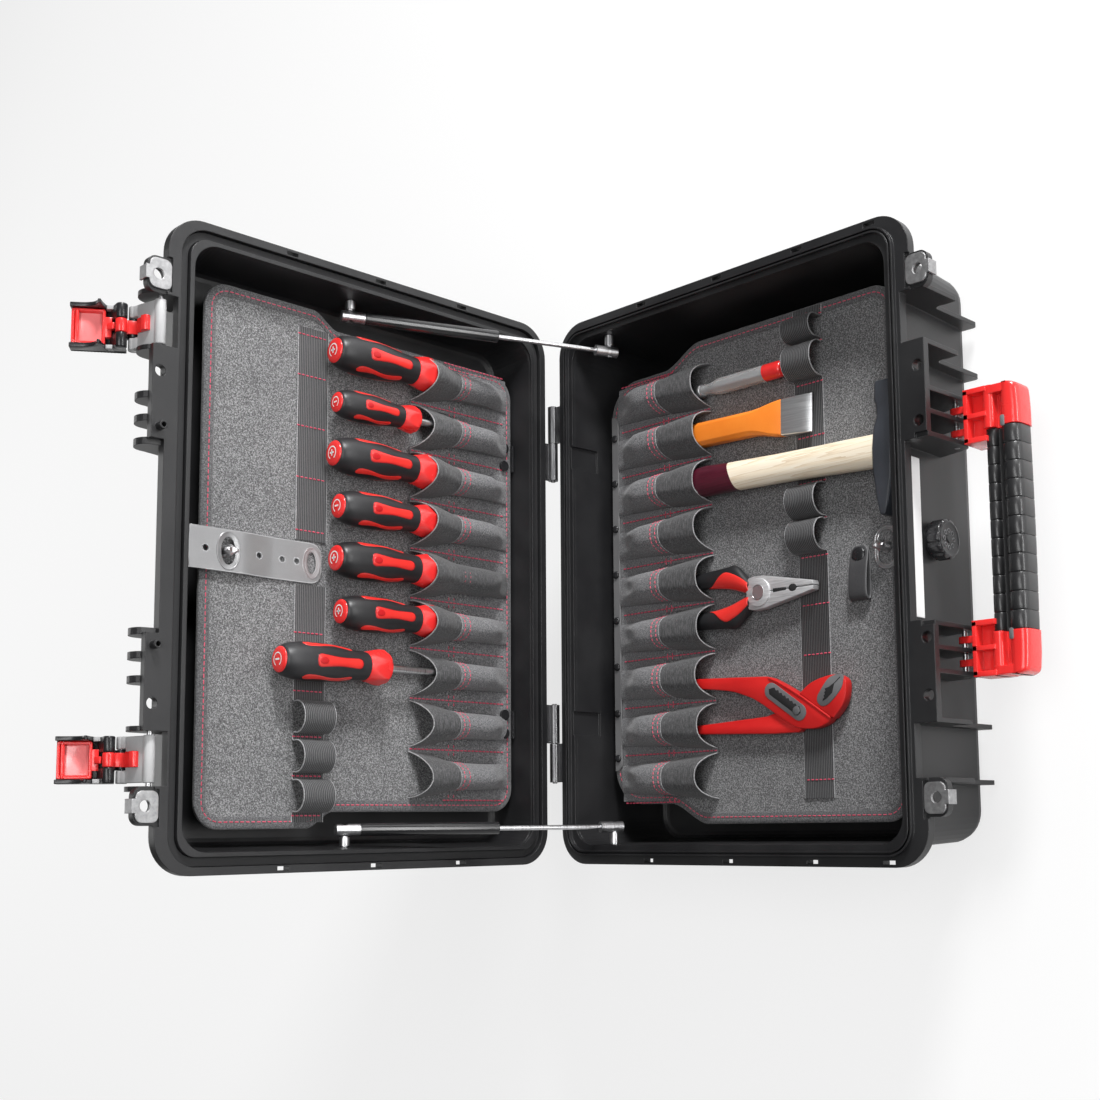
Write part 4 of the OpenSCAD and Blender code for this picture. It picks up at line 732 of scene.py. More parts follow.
def driver(i):
    s, r, n = DRIVER_L * DRIVER_SIZE[i], DRIVER_R * DRIVER_SIZE[i], 60
    body = "screwdriver_%d" % (i + 1)
    slant = math.radians(-14)
    turn = turns(n)

    def at(a, b, t):
        return lid(DRIVER_X0 - DRIVER_PITCH * i + a, DRIVER_U[i] + t, DRIVER_D - b)

    def spun(rad, ang, f):
        return at(*polar(rad, ang), f * s)

    grip, collar, cap, red, spot, rim, mark, blade = (Build() for _ in range(8))
    grip.rings([[spun(r * grip_radius(f), a, f) for a in turn]
                for f in spread(GRIP_FORM[0][0], GRIP_FORM[-1][0], 40)])
    grip.object("_grip", body, GRIP_BLACK, "driver_grip", 50, node=body)

    # a round collar that is hexagonal in its middle
    rows = []
    for f, rev, flat in ((0.21, 0.70, 0.0), (0.205, 0.775, 0.0), (0.192, 0.80, 0.2), (0.165, 0.84, 0.7),
                         (0.13, 0.90, 1.0), (0.09, 0.955, 1.0), (0.055, 0.98, 1.0), (0.035, 0.96, 1.0),
                         (0.012, 0.84, 0.9), (0.0, 0.72, 0.6), (-0.004, 0.60, 0.2), (-0.001, 0.30, 0.0)):
        row = []
        for a in turn:
            hexed = 0.845 / math.cos((a + slant) % (math.pi / 3) - math.pi / 6)
            row.append(spun(r * mix(rev, min(rev, hexed), flat), a, f))
        rows.append(row)
    collar.rings(rows)
    collar.object("_collar", body, RED, "red_plastic", 24)
    cap.rings([[spun(r * q, a, f) for a in turn] for q, f in
               ((0.60, 0.972), (0.665, 0.982), (0.66, 0.990), (0.61, 0.9965), (0.5, 1.0005), (0.3, 1.0035),
                (0.1, 1.0045))])
    cap.object("_cap", body, RED, "red_plastic", 60)

    def inlay(build, centre, f0, f1, half, sway=0.0, lift=0.03):
        """A smooth patch on the grip; half gives its half width along it as an angle."""
        m, w = 30, 8
        rows = []
        for q in spread(0, 1, m):
            f = mix(f0, f1, q)
            cap_in = math.sqrt(max(0.0, 1 - max(0.0, (abs(2 * q - 1) - 0.78) / 0.22) ** 2))
            h = half(q) * max(cap_in, 0.02)
            mid = centre + sway * math.sin(2 * math.pi * q)
            row = []
            for v in spread(-1, 1, w):
                up = lift * (1 - v ** 6) * (0.3 + 0.7 * min(cap_in * 2, 1)) - 0.015
                row.append(spun(r * (grip_radius(f) + up), mid + h * v, f))
            rows.append(row)
        build.grid(rows)

    def waisted(half):
        return lambda q: half - 0.13 * math.sin(math.pi * q) ** 2 - 0.02 * q

    for k in range(6):
        centre = math.radians(90 + 60 * k)
        if k % 3 == 0:
            inlay(red, centre, 0.74, 0.295, waisted(0.40))
            inlay(rim, centre, 0.748, 0.287, waisted(0.445), lift=0.024)
            inlay(spot, centre, 0.725, 0.64, lambda q: 0.23 * math.sqrt(max(0, 1 - (2 * q - 1) ** 2)) + 0.01,
                  lift=0.045)
        else:
            side = 1 if k in (1, 4) else -1
            inlay(red, centre + side * 0.05, 0.83, 0.36,
                  lambda q: 0.27 - 0.13 * math.sin(math.pi * min(q * 1.1, 1)) ** 2, sway=side * -0.10)
    red.object("_inlays", body, INLAY, "red_plastic", 60)
    rim.object("_inlay_rims", body, DEEP_RED, "red_plastic", 60)
    spot.object("_spots", body, DEEP_RED, "red_plastic", 60)

    # a plain ring and the mark of the tip's kind on the cap
    mark.grid([[spun(r * q, a + math.pi, 1.0058 - 0.012 * q * q) for q in (0.30, 0.33, 0.36)]
               for a in spread(0.5, 5.8, 32)])
    for bx, by in ((0, 1), (1, 0))[:1 if i in SLOTTED else 2]:
        mark.grid([[at(r * (z * bx + w * by), r * (z * by + w * bx), 1.0062 * s) for w in (-0.045, 0.045)]
                   for z in spread(-0.17, 0.17, 4)])
    mark.object("_mark", body, WHITE, "driver_grip", 60)
    t_end = BLADE_TIP_U - DRIVER_U[i]
    blade.rings([[at(*polar(3 * q, a), t) for a in turn[::3]]
                 for q, t in ((0.98, 4), (0.98, 0), (0.98, t_end + 12), (0.86, t_end + 7), (0.7, t_end))])
    blade.object("_blade", body, CHROME, "steel", 40)


for i in range(7):
    driver(i)

# ---- the voltage tester: a clear handle with a metal core, a blade and a red cap ----
TESTER_X, TESTER_D = 156.5, 33.2


def tester():
    body = "voltage_tester"

    def at(q, a, t):
        """The place at a radius, an angle and a distance along the tester."""
        return base(TESTER_X + q * math.cos(a), t, TESTER_D - q * math.sin(a))

    def put(name, mat, slot, smooth, *forms, lobes=0, node=None):
        """A piece of turned forms: each has a count of sides, then radius, place and depth of its lobes."""
        b = Build()
        for n, *profile in forms:
            rows = []
            for q, t, *depth in profile:
                deep = depth[0] if depth else 0
                rows.append([at(q * (1 - deep * (0.5 + 0.5 * math.cos(lobes * a))), a, t) for a in turns(n)])
            b.rings(rows)
        b.object(name, body, mat, slot, smooth, node=node)

    put("_handle", CLEAR, "tester_clear", 50,
        (40, (3.0, 149), (4.6, 149.5), (4.9, 152), (4.4, 156), (5.0, 160), (6.6, 167, 0.02), (6.95, 171, 0.06),
         (6.95, 190, 0.07), (6.95, 210, 0.07), (6.9, 214, 0.04), (6.4, 216.5), (6.2, 218)), lobes=8, node=body)
    put("_core", DARK_STEEL, "steel", 30,
        (20, (1.4, 152), (2.6, 153), (2.6, 160), (1.2, 162), (1.2, 168), (3.0, 169), (3.4, 172), (3.4, 176),
         (2.2, 177), (2.2, 184), (3.2, 185), (3.2, 197), (1.6, 198), (1.6, 215)))
    spring, coils = Build(), 10
    spring.tube([at(2.7, 2 * math.pi * coils * q, 198.5 + 15.0 * q) for q in spread(0, 1, 14 * coils)], 0.38)
    spring.object("_spring", body, STEEL, "steel", 60)
    put("_blade", CHROME, "steel", 30,
        (40, (3.0, 143), (5.6, 143.3), (6.1, 144.2), (6.1, 148.2), (5.6, 149.2), (3.0, 149.4)),
        (20, (1.6, 60.8), (2.0, 66), (2.0, 143.2)))
    put("_cap", RED, "red_plastic", 50,
        (40, (6.0, 216), (6.9, 216.6), (7.0, 219, 0.03), (7.0, 229, 0.03), (6.7, 232, 0.01), (5.8, 234.2),
         (4.2, 234.8), (2.2, 234.9)), lobes=10)
    put("_contact", CHROME, "steel", 40, (24, (1.9, 234), (1.9, 235.1), (1.5, 235.4), (0.4, 235.5)))


tester()


# ---- the chisel and the hammer ----
def leaning(x, butt, degrees):
    """Places of a tool that leans about its butt; a runs across it and u along it."""
    c, s = math.cos(math.radians(degrees)), math.sin(math.radians(degrees))

    def at(a, u, d):
        return base(x + a * c - (u - butt) * s, butt + a * s + (u - butt) * c, d)
    return at


def chisel():
    """A flat painted shank that flares to a ground blade."""
    at = leaning(120.5, 75.0, 1.5)

    def part(name, mat, bevel, node, sections):
        """Flat sections with cut corners, from their half width and their two faces."""
        b = Build()
        b.rings([[at(a, u, d) for a, d in ((-hw + c, top), (hw - c, top), (hw, top + c), (hw, low - c),
                                           (hw - c, low), (-hw + c, low), (-hw, low - c), (-hw, top + c))]
                 for u, hw, top, low, c in sections])
        b.object("_" + name, "cold_chisel", mat, "chisel_steel", 30, bevel, node=node)

    part("shank", ORANGE, 0.3, "cold_chisel",
         ((75, 9.2, 27.2, 39.4, 3), (77, 10, 26.4, 40.1, 3), (200, 10, 26.3, 40.1, 3), (204, 10.1, 26.4, 40.1, 2.9),
          (212, 11.2, 27.4, 40.0, 2.4), (222, 13.6, 29.4, 39.6, 1.6), (232, 14.9, 31.0, 39.2, 1.0)))
    part("blade", BLADE, 0.15, None,
         ((231.6, 14.75, 31.2, 39.1, 0.9), (233, 14.8, 31.2, 39.1, 0.9), (250, 15.4, 33.4, 38.6, 0.5),
          (254, 15.5, 34.0, 38.2, 0.4), (259.6, 15.5, 35.6, 36.8, 0.1)))


def hammer():
    at, middle, head_u, n = leaning(80.5, 72.0, 2.2), 29.7, 335.0, 56
    handle, head = Build(), Build()

    def oval(c, power):
        return math.copysign(abs(c) ** (2 / power), c)

    rows = []
    for u, ha, hb, power in ((72.2, 6.4, 3.0, 2.3), (73.4, 7.7, 4.2, 2.4), (77, 8.1, 4.6, 2.4), (120, 8.3, 4.9, 2.4),
                             (136, 9.8, 6.4, 2.4), (146, 12.0, 8.2, 2.4), (156, 12.7, 9.0, 2.4),
                             (185, 11.9, 8.9, 2.4), (230, 11.7, 8.8, 2.4), (270, 12.0, 8.9, 2.4),
                             (300, 12.6, 9.0, 2.4), (325.5, 12.9, 9.0, 2.5)):
        rows.append([at(ha * oval(c, power), u, middle - hb * oval(s, power)) for c, s in circle(n, 1)])
    handle.rings(rows)
    handle.object("hammer_handle_wood", "base_board", ASH, "wood", 50, node="hammer_handle")
    # across the head: from the square face, over the eye, to the wedge-shaped end
    rows = []
    for a, hu, hb, cut in ((50.8, 7.6, 9.4, 2.0), (49.8, 8.6, 10.6, 2.2), (36, 8.8, 10.8, 2.2), (33, 8.0, 9.8, 2.4),
                           (24, 7.8, 9.6, 3.0), (15, 9.2, 11.4, 2.6), (0, 9.8, 11.9, 2.2), (-15, 9.4, 11.6, 2.2),
                           (-22, 8.6, 10.8, 2.0), (-40, 5.2, 10.6, 1.2), (-49.4, 2.6, 10.4, 0.7),
                           (-50.8, 1.6, 9.8, 0.5)):
        ring = [(hu - cut, hb), (hu, hb - cut), (hu, -hb + cut), (hu - cut, -hb), (-hu + cut, -hb),
                (-hu, -hb + cut), (-hu, hb - cut), (-hu + cut, hb)]
        rows.append([at(a, head_u + u, middle - b) for u, b in ring])
    head.rings(rows)
    head.object("hammer_head_steel", "base_board", HEAD, "hammer_steel", 30, 0.6, node="hammer_head")


chisel()
hammer()


# ---- the pliers ----
def combination_pliers():
    body, pivot_u, middle = "combination_pliers", 206, 34.2
    jaws, teeth, rivet, black, red = (Build() for _ in range(5))

    def at(a, u, d):
        return base(-22.0 + a, u, d)

    for s in (1, -1):
        jaws.plate(at, [(s * 0.35, 260), (s * 3.6, 259.4), (s * 13.2, 211), (s * 13.6, 201), (s * 12.6, 195.5),
                        (s * 6, 192.5), (s * 0.35, 193)][::s], 30.4, 38.4, 0.7)
    jaws.plate(at, [(a, pivot_u + b) for a, b in circle(32, 11.6)], 29.2, 39.4, 0.6)
    jaws.object("_jaws", body, SATIN, "pliers_steel", 30, node=body)
    # the slit between the jaws and the pipe grip, as near-black plates: painted shade in the gaps
    teeth.plate(at, [(-1.6, 220.5), (1.6, 220.5), (1.2, 233.5), (-1.2, 233.5)], 30.2, 31.2, 0.3)
    teeth.plate(at, [(3.0 * a, 240 + 4.0 * b) for a, b in circle(24, 1)], 30.25, 31.2, 0.2)
    teeth.object("_recess", body, SEAL_AND_GAP_SHADE, "pliers_steel", 30)
    rivet.turned(at, 0, pivot_u, 40, ((6.4, 29.3), (6.3, 28.9), (5.8, 28.75), (5.6, 28.95), (2.0, 29.0)))
    rivet.object("_rivet", body, CHROME, "pliers_steel", 40)
    # grips: a black sleeve with a red shell over its upper side
    line = smooth_line([(15.5, 81), (15.6, 110), (16.6, 140), (17.0, 158), (15.8, 174), (11.0, 187), (6.0, 196)], 6)
    wide = smooth_line([(w,) for w in (5.4, 6.2, 6.8, 7.4, 8.6, 7.6, 5.4)], 6)
    n, n_red, red_from = 24, 14, 0.42
    for s in (1, -1):
        rows_b, rows_r = [], []
        for k, ((a, u), (w,)) in enumerate(zip(line, wide)):
            q = k / (len(line) - 1)
            hb = mix(5.0, 5.9, min(q * 1.6, 1))
            flare = 3.4 * math.exp(-((u - 181) / 7.5) ** 2)
            rows_b.append([at(s * a + w * c + max(c * s, 0) * flare * s, u, middle - hb * b)
                           for c, b in circle(n, 1)])
            if q > red_from:
                g = ease((q - red_from) / 0.25)
                inner = 180 if s > 0 else 0
                span, start = mix(20, 118, g), mix(inner, inner - s * 8, g)
                row = []
                for j in range(n_red + 1):
                    t = math.radians(start - s * (span * j / n_red) + s * 6)
                    row.append(at(s * a + (w + 0.5) * math.cos(t), u, middle - (hb + 0.45) * math.sin(t)))
                rows_r.append(row)
        black.rings(rows_b)
        red.grid(rows_r)
    black.object("_grips", body, GRIP_BLACK, "grip_rubber", 50)
    shape_up(red.object("_grip_shells", body, INLAY, "red_plastic", 50), 0.9, -1)


def pump_pliers():
    body = "water_pump_pliers"
    arm, jaw, low, ridge, rim, slot, bolt, pads, mouth = (Build() for _ in range(9))

    def put(build, name, mat, smooth, node=None):
        build.object(name, body, mat, "pump_red", smooth, node=node)

    upper = [(-86, 71)] + smooth_line([(-86, 140), (-87, 162), (-89, 200), (-90, 212), (-95, 224), (-107, 245),
                                       (-126, 273)])
    lower = smooth_line([(-129.5, 270), (-133, 258), (-132, 241), (-126, 229), (-109, 202), (-103, 188), (-99, 175),
                         (-96, 155), (-94.5, 140)]) + [(-95, 71)]
    arm.plate(base, upper + lower, 31.2, 39.4, 1.0)
    put(arm, "_upper", PUMP, 35, body)
    jaw.plate(base, smooth_line([(-105.5, 243), (-98, 254), (-94, 268), (-93.6, 279), (-97, 286), (-104, 287.6),
                                 (-116, 284.5), (-126.5, 275)]) + [(-125, 272), (-106.4, 244)], 30.8, 39.0, 1.0)
    put(jaw, "_head", PUMP, 35)
    low.plate(base, [(-124.5, 71), (-124.3, 137), (-121, 208), (-119.5, 214), (-118, 222), (-129, 245),
                     (-132.4, 244), (-135, 240), (-135, 214), (-131.4, 137), (-131, 71)], 33.6, 40.2, 1.0)
    put(low, "_lower", PUMP, 35)
    for off in (0, 2.6):
        ridge.tube([base(x + off * 0.3, u - off * 0.2, 31.0) for x, u in
                    smooth_line([(-91.5, 214), (-96.5, 225), (-108.5, 245.5), (-126.5, 272.5)])], 0.75, 8)
    put(ridge, "_ridges", PUMP, 50)

    # the slot in its rim, with the teeth of its upper side; the slot itself is a near-black plate of painted shade
    c0, c1 = Vector((-101.5, 216)), Vector((-120, 243))
    along, length = (c1 - c0).normalized(), (c1 - c0).length
    across = Vector((along.y, -along.x))
    angle = math.degrees(math.atan2(along.y, along.x))
    rim.plate(base, arc(*c1, 6.6, angle - 90, angle + 90, 8) + arc(*c0, 6.6, angle + 90, angle + 270, 8),
              30.6, 32.2, 0.3)
    teeth = 8
    spots = [((k + dt) * length / teeth, w) for k in range(teeth)
             for dt, w in ((0.0, 2.9), (0.45, 4.2), (0.9, 2.9))]
    spots += [(length + 1.5, 0.5), (length, -3.0), (0.0, -3.0), (-2.6, 0.0)]
    slot.plate(base, [tuple(c0 + along * t + across * w) for t, w in spots], 30.45, 31.6, 0.1)
    put(slot, "_slot", SEAL_AND_GAP_SHADE, 30)
    bolt.turned(base, -118.5, 240.5, 28, ((3.4, 31.4), (3.4, 30.3), (2.9, 29.9), (0.8, 29.8)))
    put(rim, "_slot_rim", BARE, 30)
    put(bolt, "_bolt", BARE, 40)
    pads.plate(base, smooth_line([(-108, 261), (-97, 270), (-93.8, 277), (-94.6, 285), (-103, 284), (-110, 278),
                                  (-116, 270), (-116.4, 264), (-112.5, 260.4), (-108, 261)], 4)[:-1], 30.3, 32.0, 0.4)
    put(pads, "_jaw_faces", BARE, 35)
    # the gap between the jaws as near-black plates: painted shade
    mouth.plate(base, [(-99.5, 277.5), (-102.5, 272), (-103.4, 268.2), (-105.4, 269), (-106.2, 267.6),
                       (-107.8, 268.4), (-108.6, 267), (-110.4, 267.6), (-111.2, 266.2), (-113, 266),
                       (-111.4, 269.4), (-107.2, 275)], 30.1, 31.0, 0.1)
    mouth.plate(base, [(-99.7, 277.2), (-95.4, 282.6), (-96.0, 283.0), (-100.1, 277.6)], 30.15, 31.0, 0.05)
    put(mouth, "_mouth", SEAL_AND_GAP_SHADE, 30)


combination_pliers()
pump_pliers()

# ---- latches ----
LATCH_X, LATCH_W, LATCH_PIN, ARM_L, LEVER_L = 156.0, 33.0, (376.0, 8.0), 28.0, 44.0
ARM_REST, LEVER_REST = math.radians(78), math.radians(34)
LEVER_PIN = (LATCH_PIN[0] + ARM_L * math.cos(ARM_REST), LATCH_PIN[1] + ARM_L * math.sin(ARM_REST))


def latch(side, word):
    """Pieces of one latch; s runs along the arm or lever from its pivot and t towards its back."""
    w, r = LATCH_W / 2, 4.0
    arm, lever, lock = "latch_arm_" + word, "latch_lever_" + word, "latch_lock_" + word
    b, hook, frame_ob, ribs, pads, links, tray, glow = (Build() for _ in range(8))

    def turned(pin, angle):
        c, s = math.cos(angle), math.sin(angle)
        return lambda a, along, t: lid(side * LATCH_X + a, pin[0] + along * c - t * s, pin[1] + along * s + t * c)
    on_arm, on_lever = turned(LATCH_PIN, ARM_REST), turned(LEVER_PIN, LEVER_REST)

    b.barrel(on_arm, -w, w, 0, 0, r)
    b.box(on_arm, -w + 0.4, w - 0.4, 0, ARM_L - 8, -3.5, 3.5)
    for a0 in (-w, w - 9):
        b.barrel(on_arm, a0, a0 + 9, ARM_L, 0, r)
        b.box(on_arm, a0 + 0.4, a0 + 8.6, ARM_L - 9, ARM_L, -3.3, 3.5)
    b.object("_body", arm, PALE, "latch_grey", 30, 0.5, node=arm)
    hook.block(on_arm, -5.6, 5.6, [(6.5, -3.2), (6.5, -6.2), (8, -7.4), (12, -7.4), (13.2, -6.4), (14, -4.8),
                                   (ARM_L - 8.4, -4.6), (ARM_L - 8.4, -3.2)])
    hook.object("_hook", arm, RED, "red_plastic", 35, 0.5)

    lm = w - 9.3
    frame_ob.barrel(on_lever, -lm, lm, 0, 0, r)
    frame_ob.box(on_lever, -lm, lm, 0, 9, 1, 4)
    for a0, a1 in ((-w, -5.2), (5.2, w)):
        frame_ob.barrel(on_lever, a0, a1, 8, -7, 4.2, crown=0.9)
        frame_ob.block(on_lever, a0 + 0.3, a1 - 0.3, [(6, 4), (4.6, -4.4), (4.6, -7), (11.8, -8), (14, -3.8),
                                                      (16.4, -0.5), (17, 4)])
    frame_ob.box(on_lever, -w, w, 6, LEVER_L, 3, 6)
    cheek = [(5.5, 6), (5.5, 3.4), (17, 3), (19.2, -2.5), (20.6, -9), (21.4, -15.6), (22.2, -16)]
    cheek += smooth_line([(23.2, -15.6), (24.6, -11.5), (28, -8.0), (33, -6.1), (38, -5.6),
                          (LEVER_L - 0.6, -5.5)], 6)
    cheek += [(LEVER_L, -4.6), (LEVER_L, 6)]
    for a0 in (-w, w - 3):
        frame_ob.block(on_lever, a0, a0 + 3, cheek)
    frame_ob.object("_body", lever, BLACK, "latch_black", 35, 0.4, node=lever)
    for s0 in (8.5 + 2.3 * k for k in range(15)):
        ribs.block(on_lever, -w + 0.3, w - 0.3, [(s0, 5.9), (s0 + 1.3, 5.9), (s0 + 1.05, 6.9), (s0 + 0.25, 6.9)])
    ribs.object("_ribs", lever, BLACK, "latch_black", 30)
    for a0 in (-w + 0.2, w - 3.3):
        pads.block(on_lever, a0, a0 + 3.1, [(13.6, 3), (14.2, -3.4), (19.0, -3.1), (19.6, 3)])
    pads.object("_pads", lever, PALE, "latch_grey", 30, 0.3)
    links.barrel(on_lever, -5.0, 5.0, 8, -7, 4.15)
    links.block(on_lever, -5.0, 5.0, [(-3.6, -4.4), (0.5, -5.0), (5.4, -5.2), (5.4, -3), (0.5, -3.6), (-3.4, -3.2)])
    links.barrel(on_lever, -4.9, 4.9, 0, 0, 4.5)
    links.object("_link", lever, RED, "red_plastic", 35, 0.35)

    hw, s0, s1 = w - 3.4, 15.2, LEVER_L - 1

    def rect(i, j, t):
        return [on_lever(a, s, t) for a, s in rounded(-hw + i, hw - i, s0 + 4.5 + j, s1 - j, 1.2, 3)]
    tray.rings([rect(0, 0, 2.9), rect(0, 0, -2.5), rect(0.4, 0.4, -3.0), rect(1.6, 1.6, -3.0), rect(2.0, 2.0, -2.6),
                rect(2.3, 2.4, 0.9)])
    tray.box(on_lever, -7.5, 7.5, s0, s0 + 5, -2.4, 2.8)
    tray.block(on_lever, -2.4, 2.4, [(s0 - 2.4, -6.6), (s0 - 1, -6.8), (s0 + 3, -3.4), (s0 + 3, 0), (s0 - 2.4, -2)])
    tray.block(on_lever, -hw + 0.4, hw - 0.4, [(s1 - 5.2, -2.8), (s1 - 4.6, -3.5), (s1 - 3.2, -3.5),
                                               (s1 - 2.6, -2.8), (s1 - 2.6, -1), (s1 - 5.2, -1)])
    tray.object("_tray", lock, RED, "red_plastic", 35, 0.25, node=lock)
    # the tray's floor in the lighter red: a painted highlight
    glow.rings([rect(2.5, 2.6, 0.92), rect(2.5, 2.6, 0.6), rect(3.0, 3.4, 0.4)])
    glow.object("_floor", lock, PAINTED_HIGHLIGHT_RED, "red_plastic", 40)


latch(1, "right")
latch(-1, "left")

# ---- handle ----
HANDLE_U, HANDLE_D = 378.5, 51.0
BRACKET_X0, BRACKET_X1 = 64.0, 104.1
GRIP_U0, GRIP_U1 = 406.5, 434.5     # the inner and outer side of the grip
SPAN_D = 12.0                       # half the handle's depth
FIN_X0, FIN_PITCH, PRONG_W = 67.5, 16.8, 5.0


def handle_ends():
    """Two red ends: a window frame, prongs between the fins and the two runs of the curved end."""
    red, n = Build(), 20
    u0, u1, x0, x1 = HANDLE_U + 13.0, GRIP_U0 + 3, BRACKET_X0, BRACKET_X1
    for side in (1, -1):
        def at(a, u, d):
            return base(side * a, u, d)

        def box(a0, a1, v0, v1, half):
            red.box(at, a0, a1, v0, v1, HANDLE_D - half, HANDLE_D + half)

        def run(rows, half, r):
            """A bar along x with a rounded section; each row is x and the section's two sides."""
            red.rings([[at(a, u, d) for u, d in rounded(v0, v1, HANDLE_D - half, HANDLE_D + half, r, 5)]
                       for a, v0, v1 in rows])

        # window frame: a box with a web between two recesses on both faces
        for a0, a1 in ((x0, x0 + 3.8), (x0 + 18.2, x0 + 21.6), (x1 - 3.8, x1)):
            box(a0, a1, u0, u1, 12)
        box(x0 + 1, x1 - 1, u0, u0 + 3.2, 12)
        box(x0 + 1, x1 - 1, u0 + 1, u1, 3)
        prong = [(u0 + 1, HANDLE_D + 4)] + arc(HANDLE_U, HANDLE_D, 4.4, 80, 280, 10) + [(u0 + 1, HANDLE_D - 4)]
        for i in (0.5, 1.5):
            a = FIN_X0 + FIN_PITCH * i
            red.block(at, a - PRONG_W / 2, a + PRONG_W / 2, prong)
        # the curved end: a broad outer cap and an inner rail, joined at the end
        spots = spread(x0 + 9.2, x1, n)
        rows = []
        for a in spots:
            drop = 4 - math.sqrt(max(0.0, 16 - (max(a - (x1 - 5), 0.0) / 5 * 4) ** 2))
            rows.append((a, GRIP_U0 + 13.2, GRIP_U1 - drop - 1.5 * max(0.0, (a - 80) / 24) ** 2))
        run(rows, SPAN_D, 5.5)
        run([(a, GRIP_U0 - 0.2, GRIP_U0 + 8.3) for a in spots], SPAN_D - 0.6, 3.2)
        run([(mix(x1 - 6.5, x1 - 0.4, q), GRIP_U0 + 2, GRIP_U1 - 4 - 2.5 * q) for q in spread(0, 1, 5)],
            SPAN_D - 0.5, 3.0)
        # web that joins both runs behind the gap
        box(x0 + 9.2, x1 - 3, GRIP_U0 + 5, GRIP_U1 - 5, 4)
    red.object("handle_red_ends", "handle", RED, "red_plastic", 35, 0.7, 3, node="handle_brackets")


def handle_grip():
    """The ribbed grip of two runs, with a grey tab on each face at both ends."""
    grip, tabs = Build(), Build()
    half, segments = BRACKET_X0 + 9, 11
    pitch = 2 * half / segments
    rib = ((0.0, 0.8), (0.022, 0.2), (0.05, 0.0), (0.5, -0.05), (0.95, 0.0), (0.978, 0.2), (1.0, 0.8))
    for u0, u1, dd, rad, lift in ((GRIP_U0 + 12.4, GRIP_U1, SPAN_D, 6.6, 1.0),
                                  (GRIP_U0, GRIP_U0 + 8.6, SPAN_D - 3, 3.6, 0.0)):
        rows = []
        for x, i in ((-half + (k + q) * pitch, i) for k in range(segments) for q, i in rib):
            # the outer run bows outwards a little
            b = lift * 1.2 * (1 - min(abs(x) / 110, 1) ** 2)
            rows.append([base(x, u, d) for u, d in rounded(u0 + i + b * 0.4, u1 - i + b - lift * 1.2,
                                                           HANDLE_D - dd + i, HANDLE_D + dd - i, rad - i, 5)])
        grip.rings(rows)
    grip.box(base, -half + 0.5, half - 0.5, GRIP_U0 + 5, GRIP_U1 - 6, HANDLE_D - 4, HANDLE_D + 4)
    grip.object("handle_grip_ribbed", "handle", GRIP, "grip_rubber", 38, node="handle_grip")
    for side, way in ((s, w) for s in (1, -1) for w in (-1, 1)):
        d = HANDLE_D + way * (SPAN_D + 0.15)
        tabs.rings([[base(side * a, u, d - way * z) for a, u in
                     rounded(half - 1 + i, half + 7 - i, GRIP_U0 + 14.2 + i, GRIP_U0 + 17.6 - i, 1.3, 4)]
                    for z, i in ((0.6, 0.0), (0.0, 0.0), (-0.25, 0.4))])
    tabs.object("handle_grip_tabs", "handle", GREY, "latch_grey", 40)


handle_ends()
handle_grip()


# ---- pressure valve ----
def valve():
    r, u0, u1, middle, n, lobes = 15.0, 358.3, 370.0, 50, 120, 10
    cap, hole_shade, rims = Build(), Build(), Build()

    def ring(rad, u, depth=0.0):
        row = []
        for a in turns(n):
            x, d = polar(rad * (1 - depth * max(0.0, math.cos(lobes * a)) ** 2), a)
            row.append(base(x, u, middle + d))
        return row

    cap.rings([ring(3.1, u0 + 0.3), ring(r - 1.0, u0), ring(r - 0.2, u0 + 0.6, 0.05), ring(r, u0 + 1.6, 0.10),
               ring(r, u1 - 2.0, 0.10), ring(r - 0.5, u1 - 0.9, 0.08), ring(r - 1.6, u1 - 0.25, 0.03),
               ring(r - 2.6, u1), ring(r - 3.2, u1 - 0.5), ring(r - 4.0, u1 - 0.9), ring(2.0, u1 - 0.7)])
    cap.object("valve_cap_body", "valve_cap", BLACK, "shell_plastic", 40, node="valve_cap")

    def upright(x, d, h):
        """A place from x, depth and height over the cap's face, to turn forms about u."""
        return base(x, u1 + h, middle + d)
    # each hole is a shallow cup in near-black: painted shade for the hole's depth
    for a, b in [(0.0, 0.0)] + circle(8, 6.3):
        rims.turned(upright, a, b, 20, ((1.75, -1.1), (1.7, -0.55), (1.35, -0.45), (1.15, -0.6)), caps=False)
        hole_shade.turned(upright, a, b, 20, ((1.3, -0.9), (1.25, -0.62), (0.4, -0.6)))
    rims.object("valve_hole_rims", "valve_cap", GREY, "shell_plastic", 40)
    hole_shade.object("valve_holes", "valve_cap", SEAL_AND_GAP_SHADE, "shell_plastic", 40)


valve()

# ---- strap and turn studs ----
STRAP_W, STRAP_HINGE, STRAP_L = 32.0, 347.0, 119.5
LID_STUD_U, BASE_STUD_U, BASE_STUD_X, BASE_STUD_RING = 311, 321, 17, 11
# slots for the stud, as middle along the strap, two half sizes and rise of the eyelet
STRAP_SLOTS = ((LID_STUD_U, 12, 7.5, 1.0), (236.5, 10, 5.5, 0.6))


def strap_mid(u):
    """Middle depth of the strap along it."""
    return mix(23.05, 20.0, ease((u - 270) / 30))


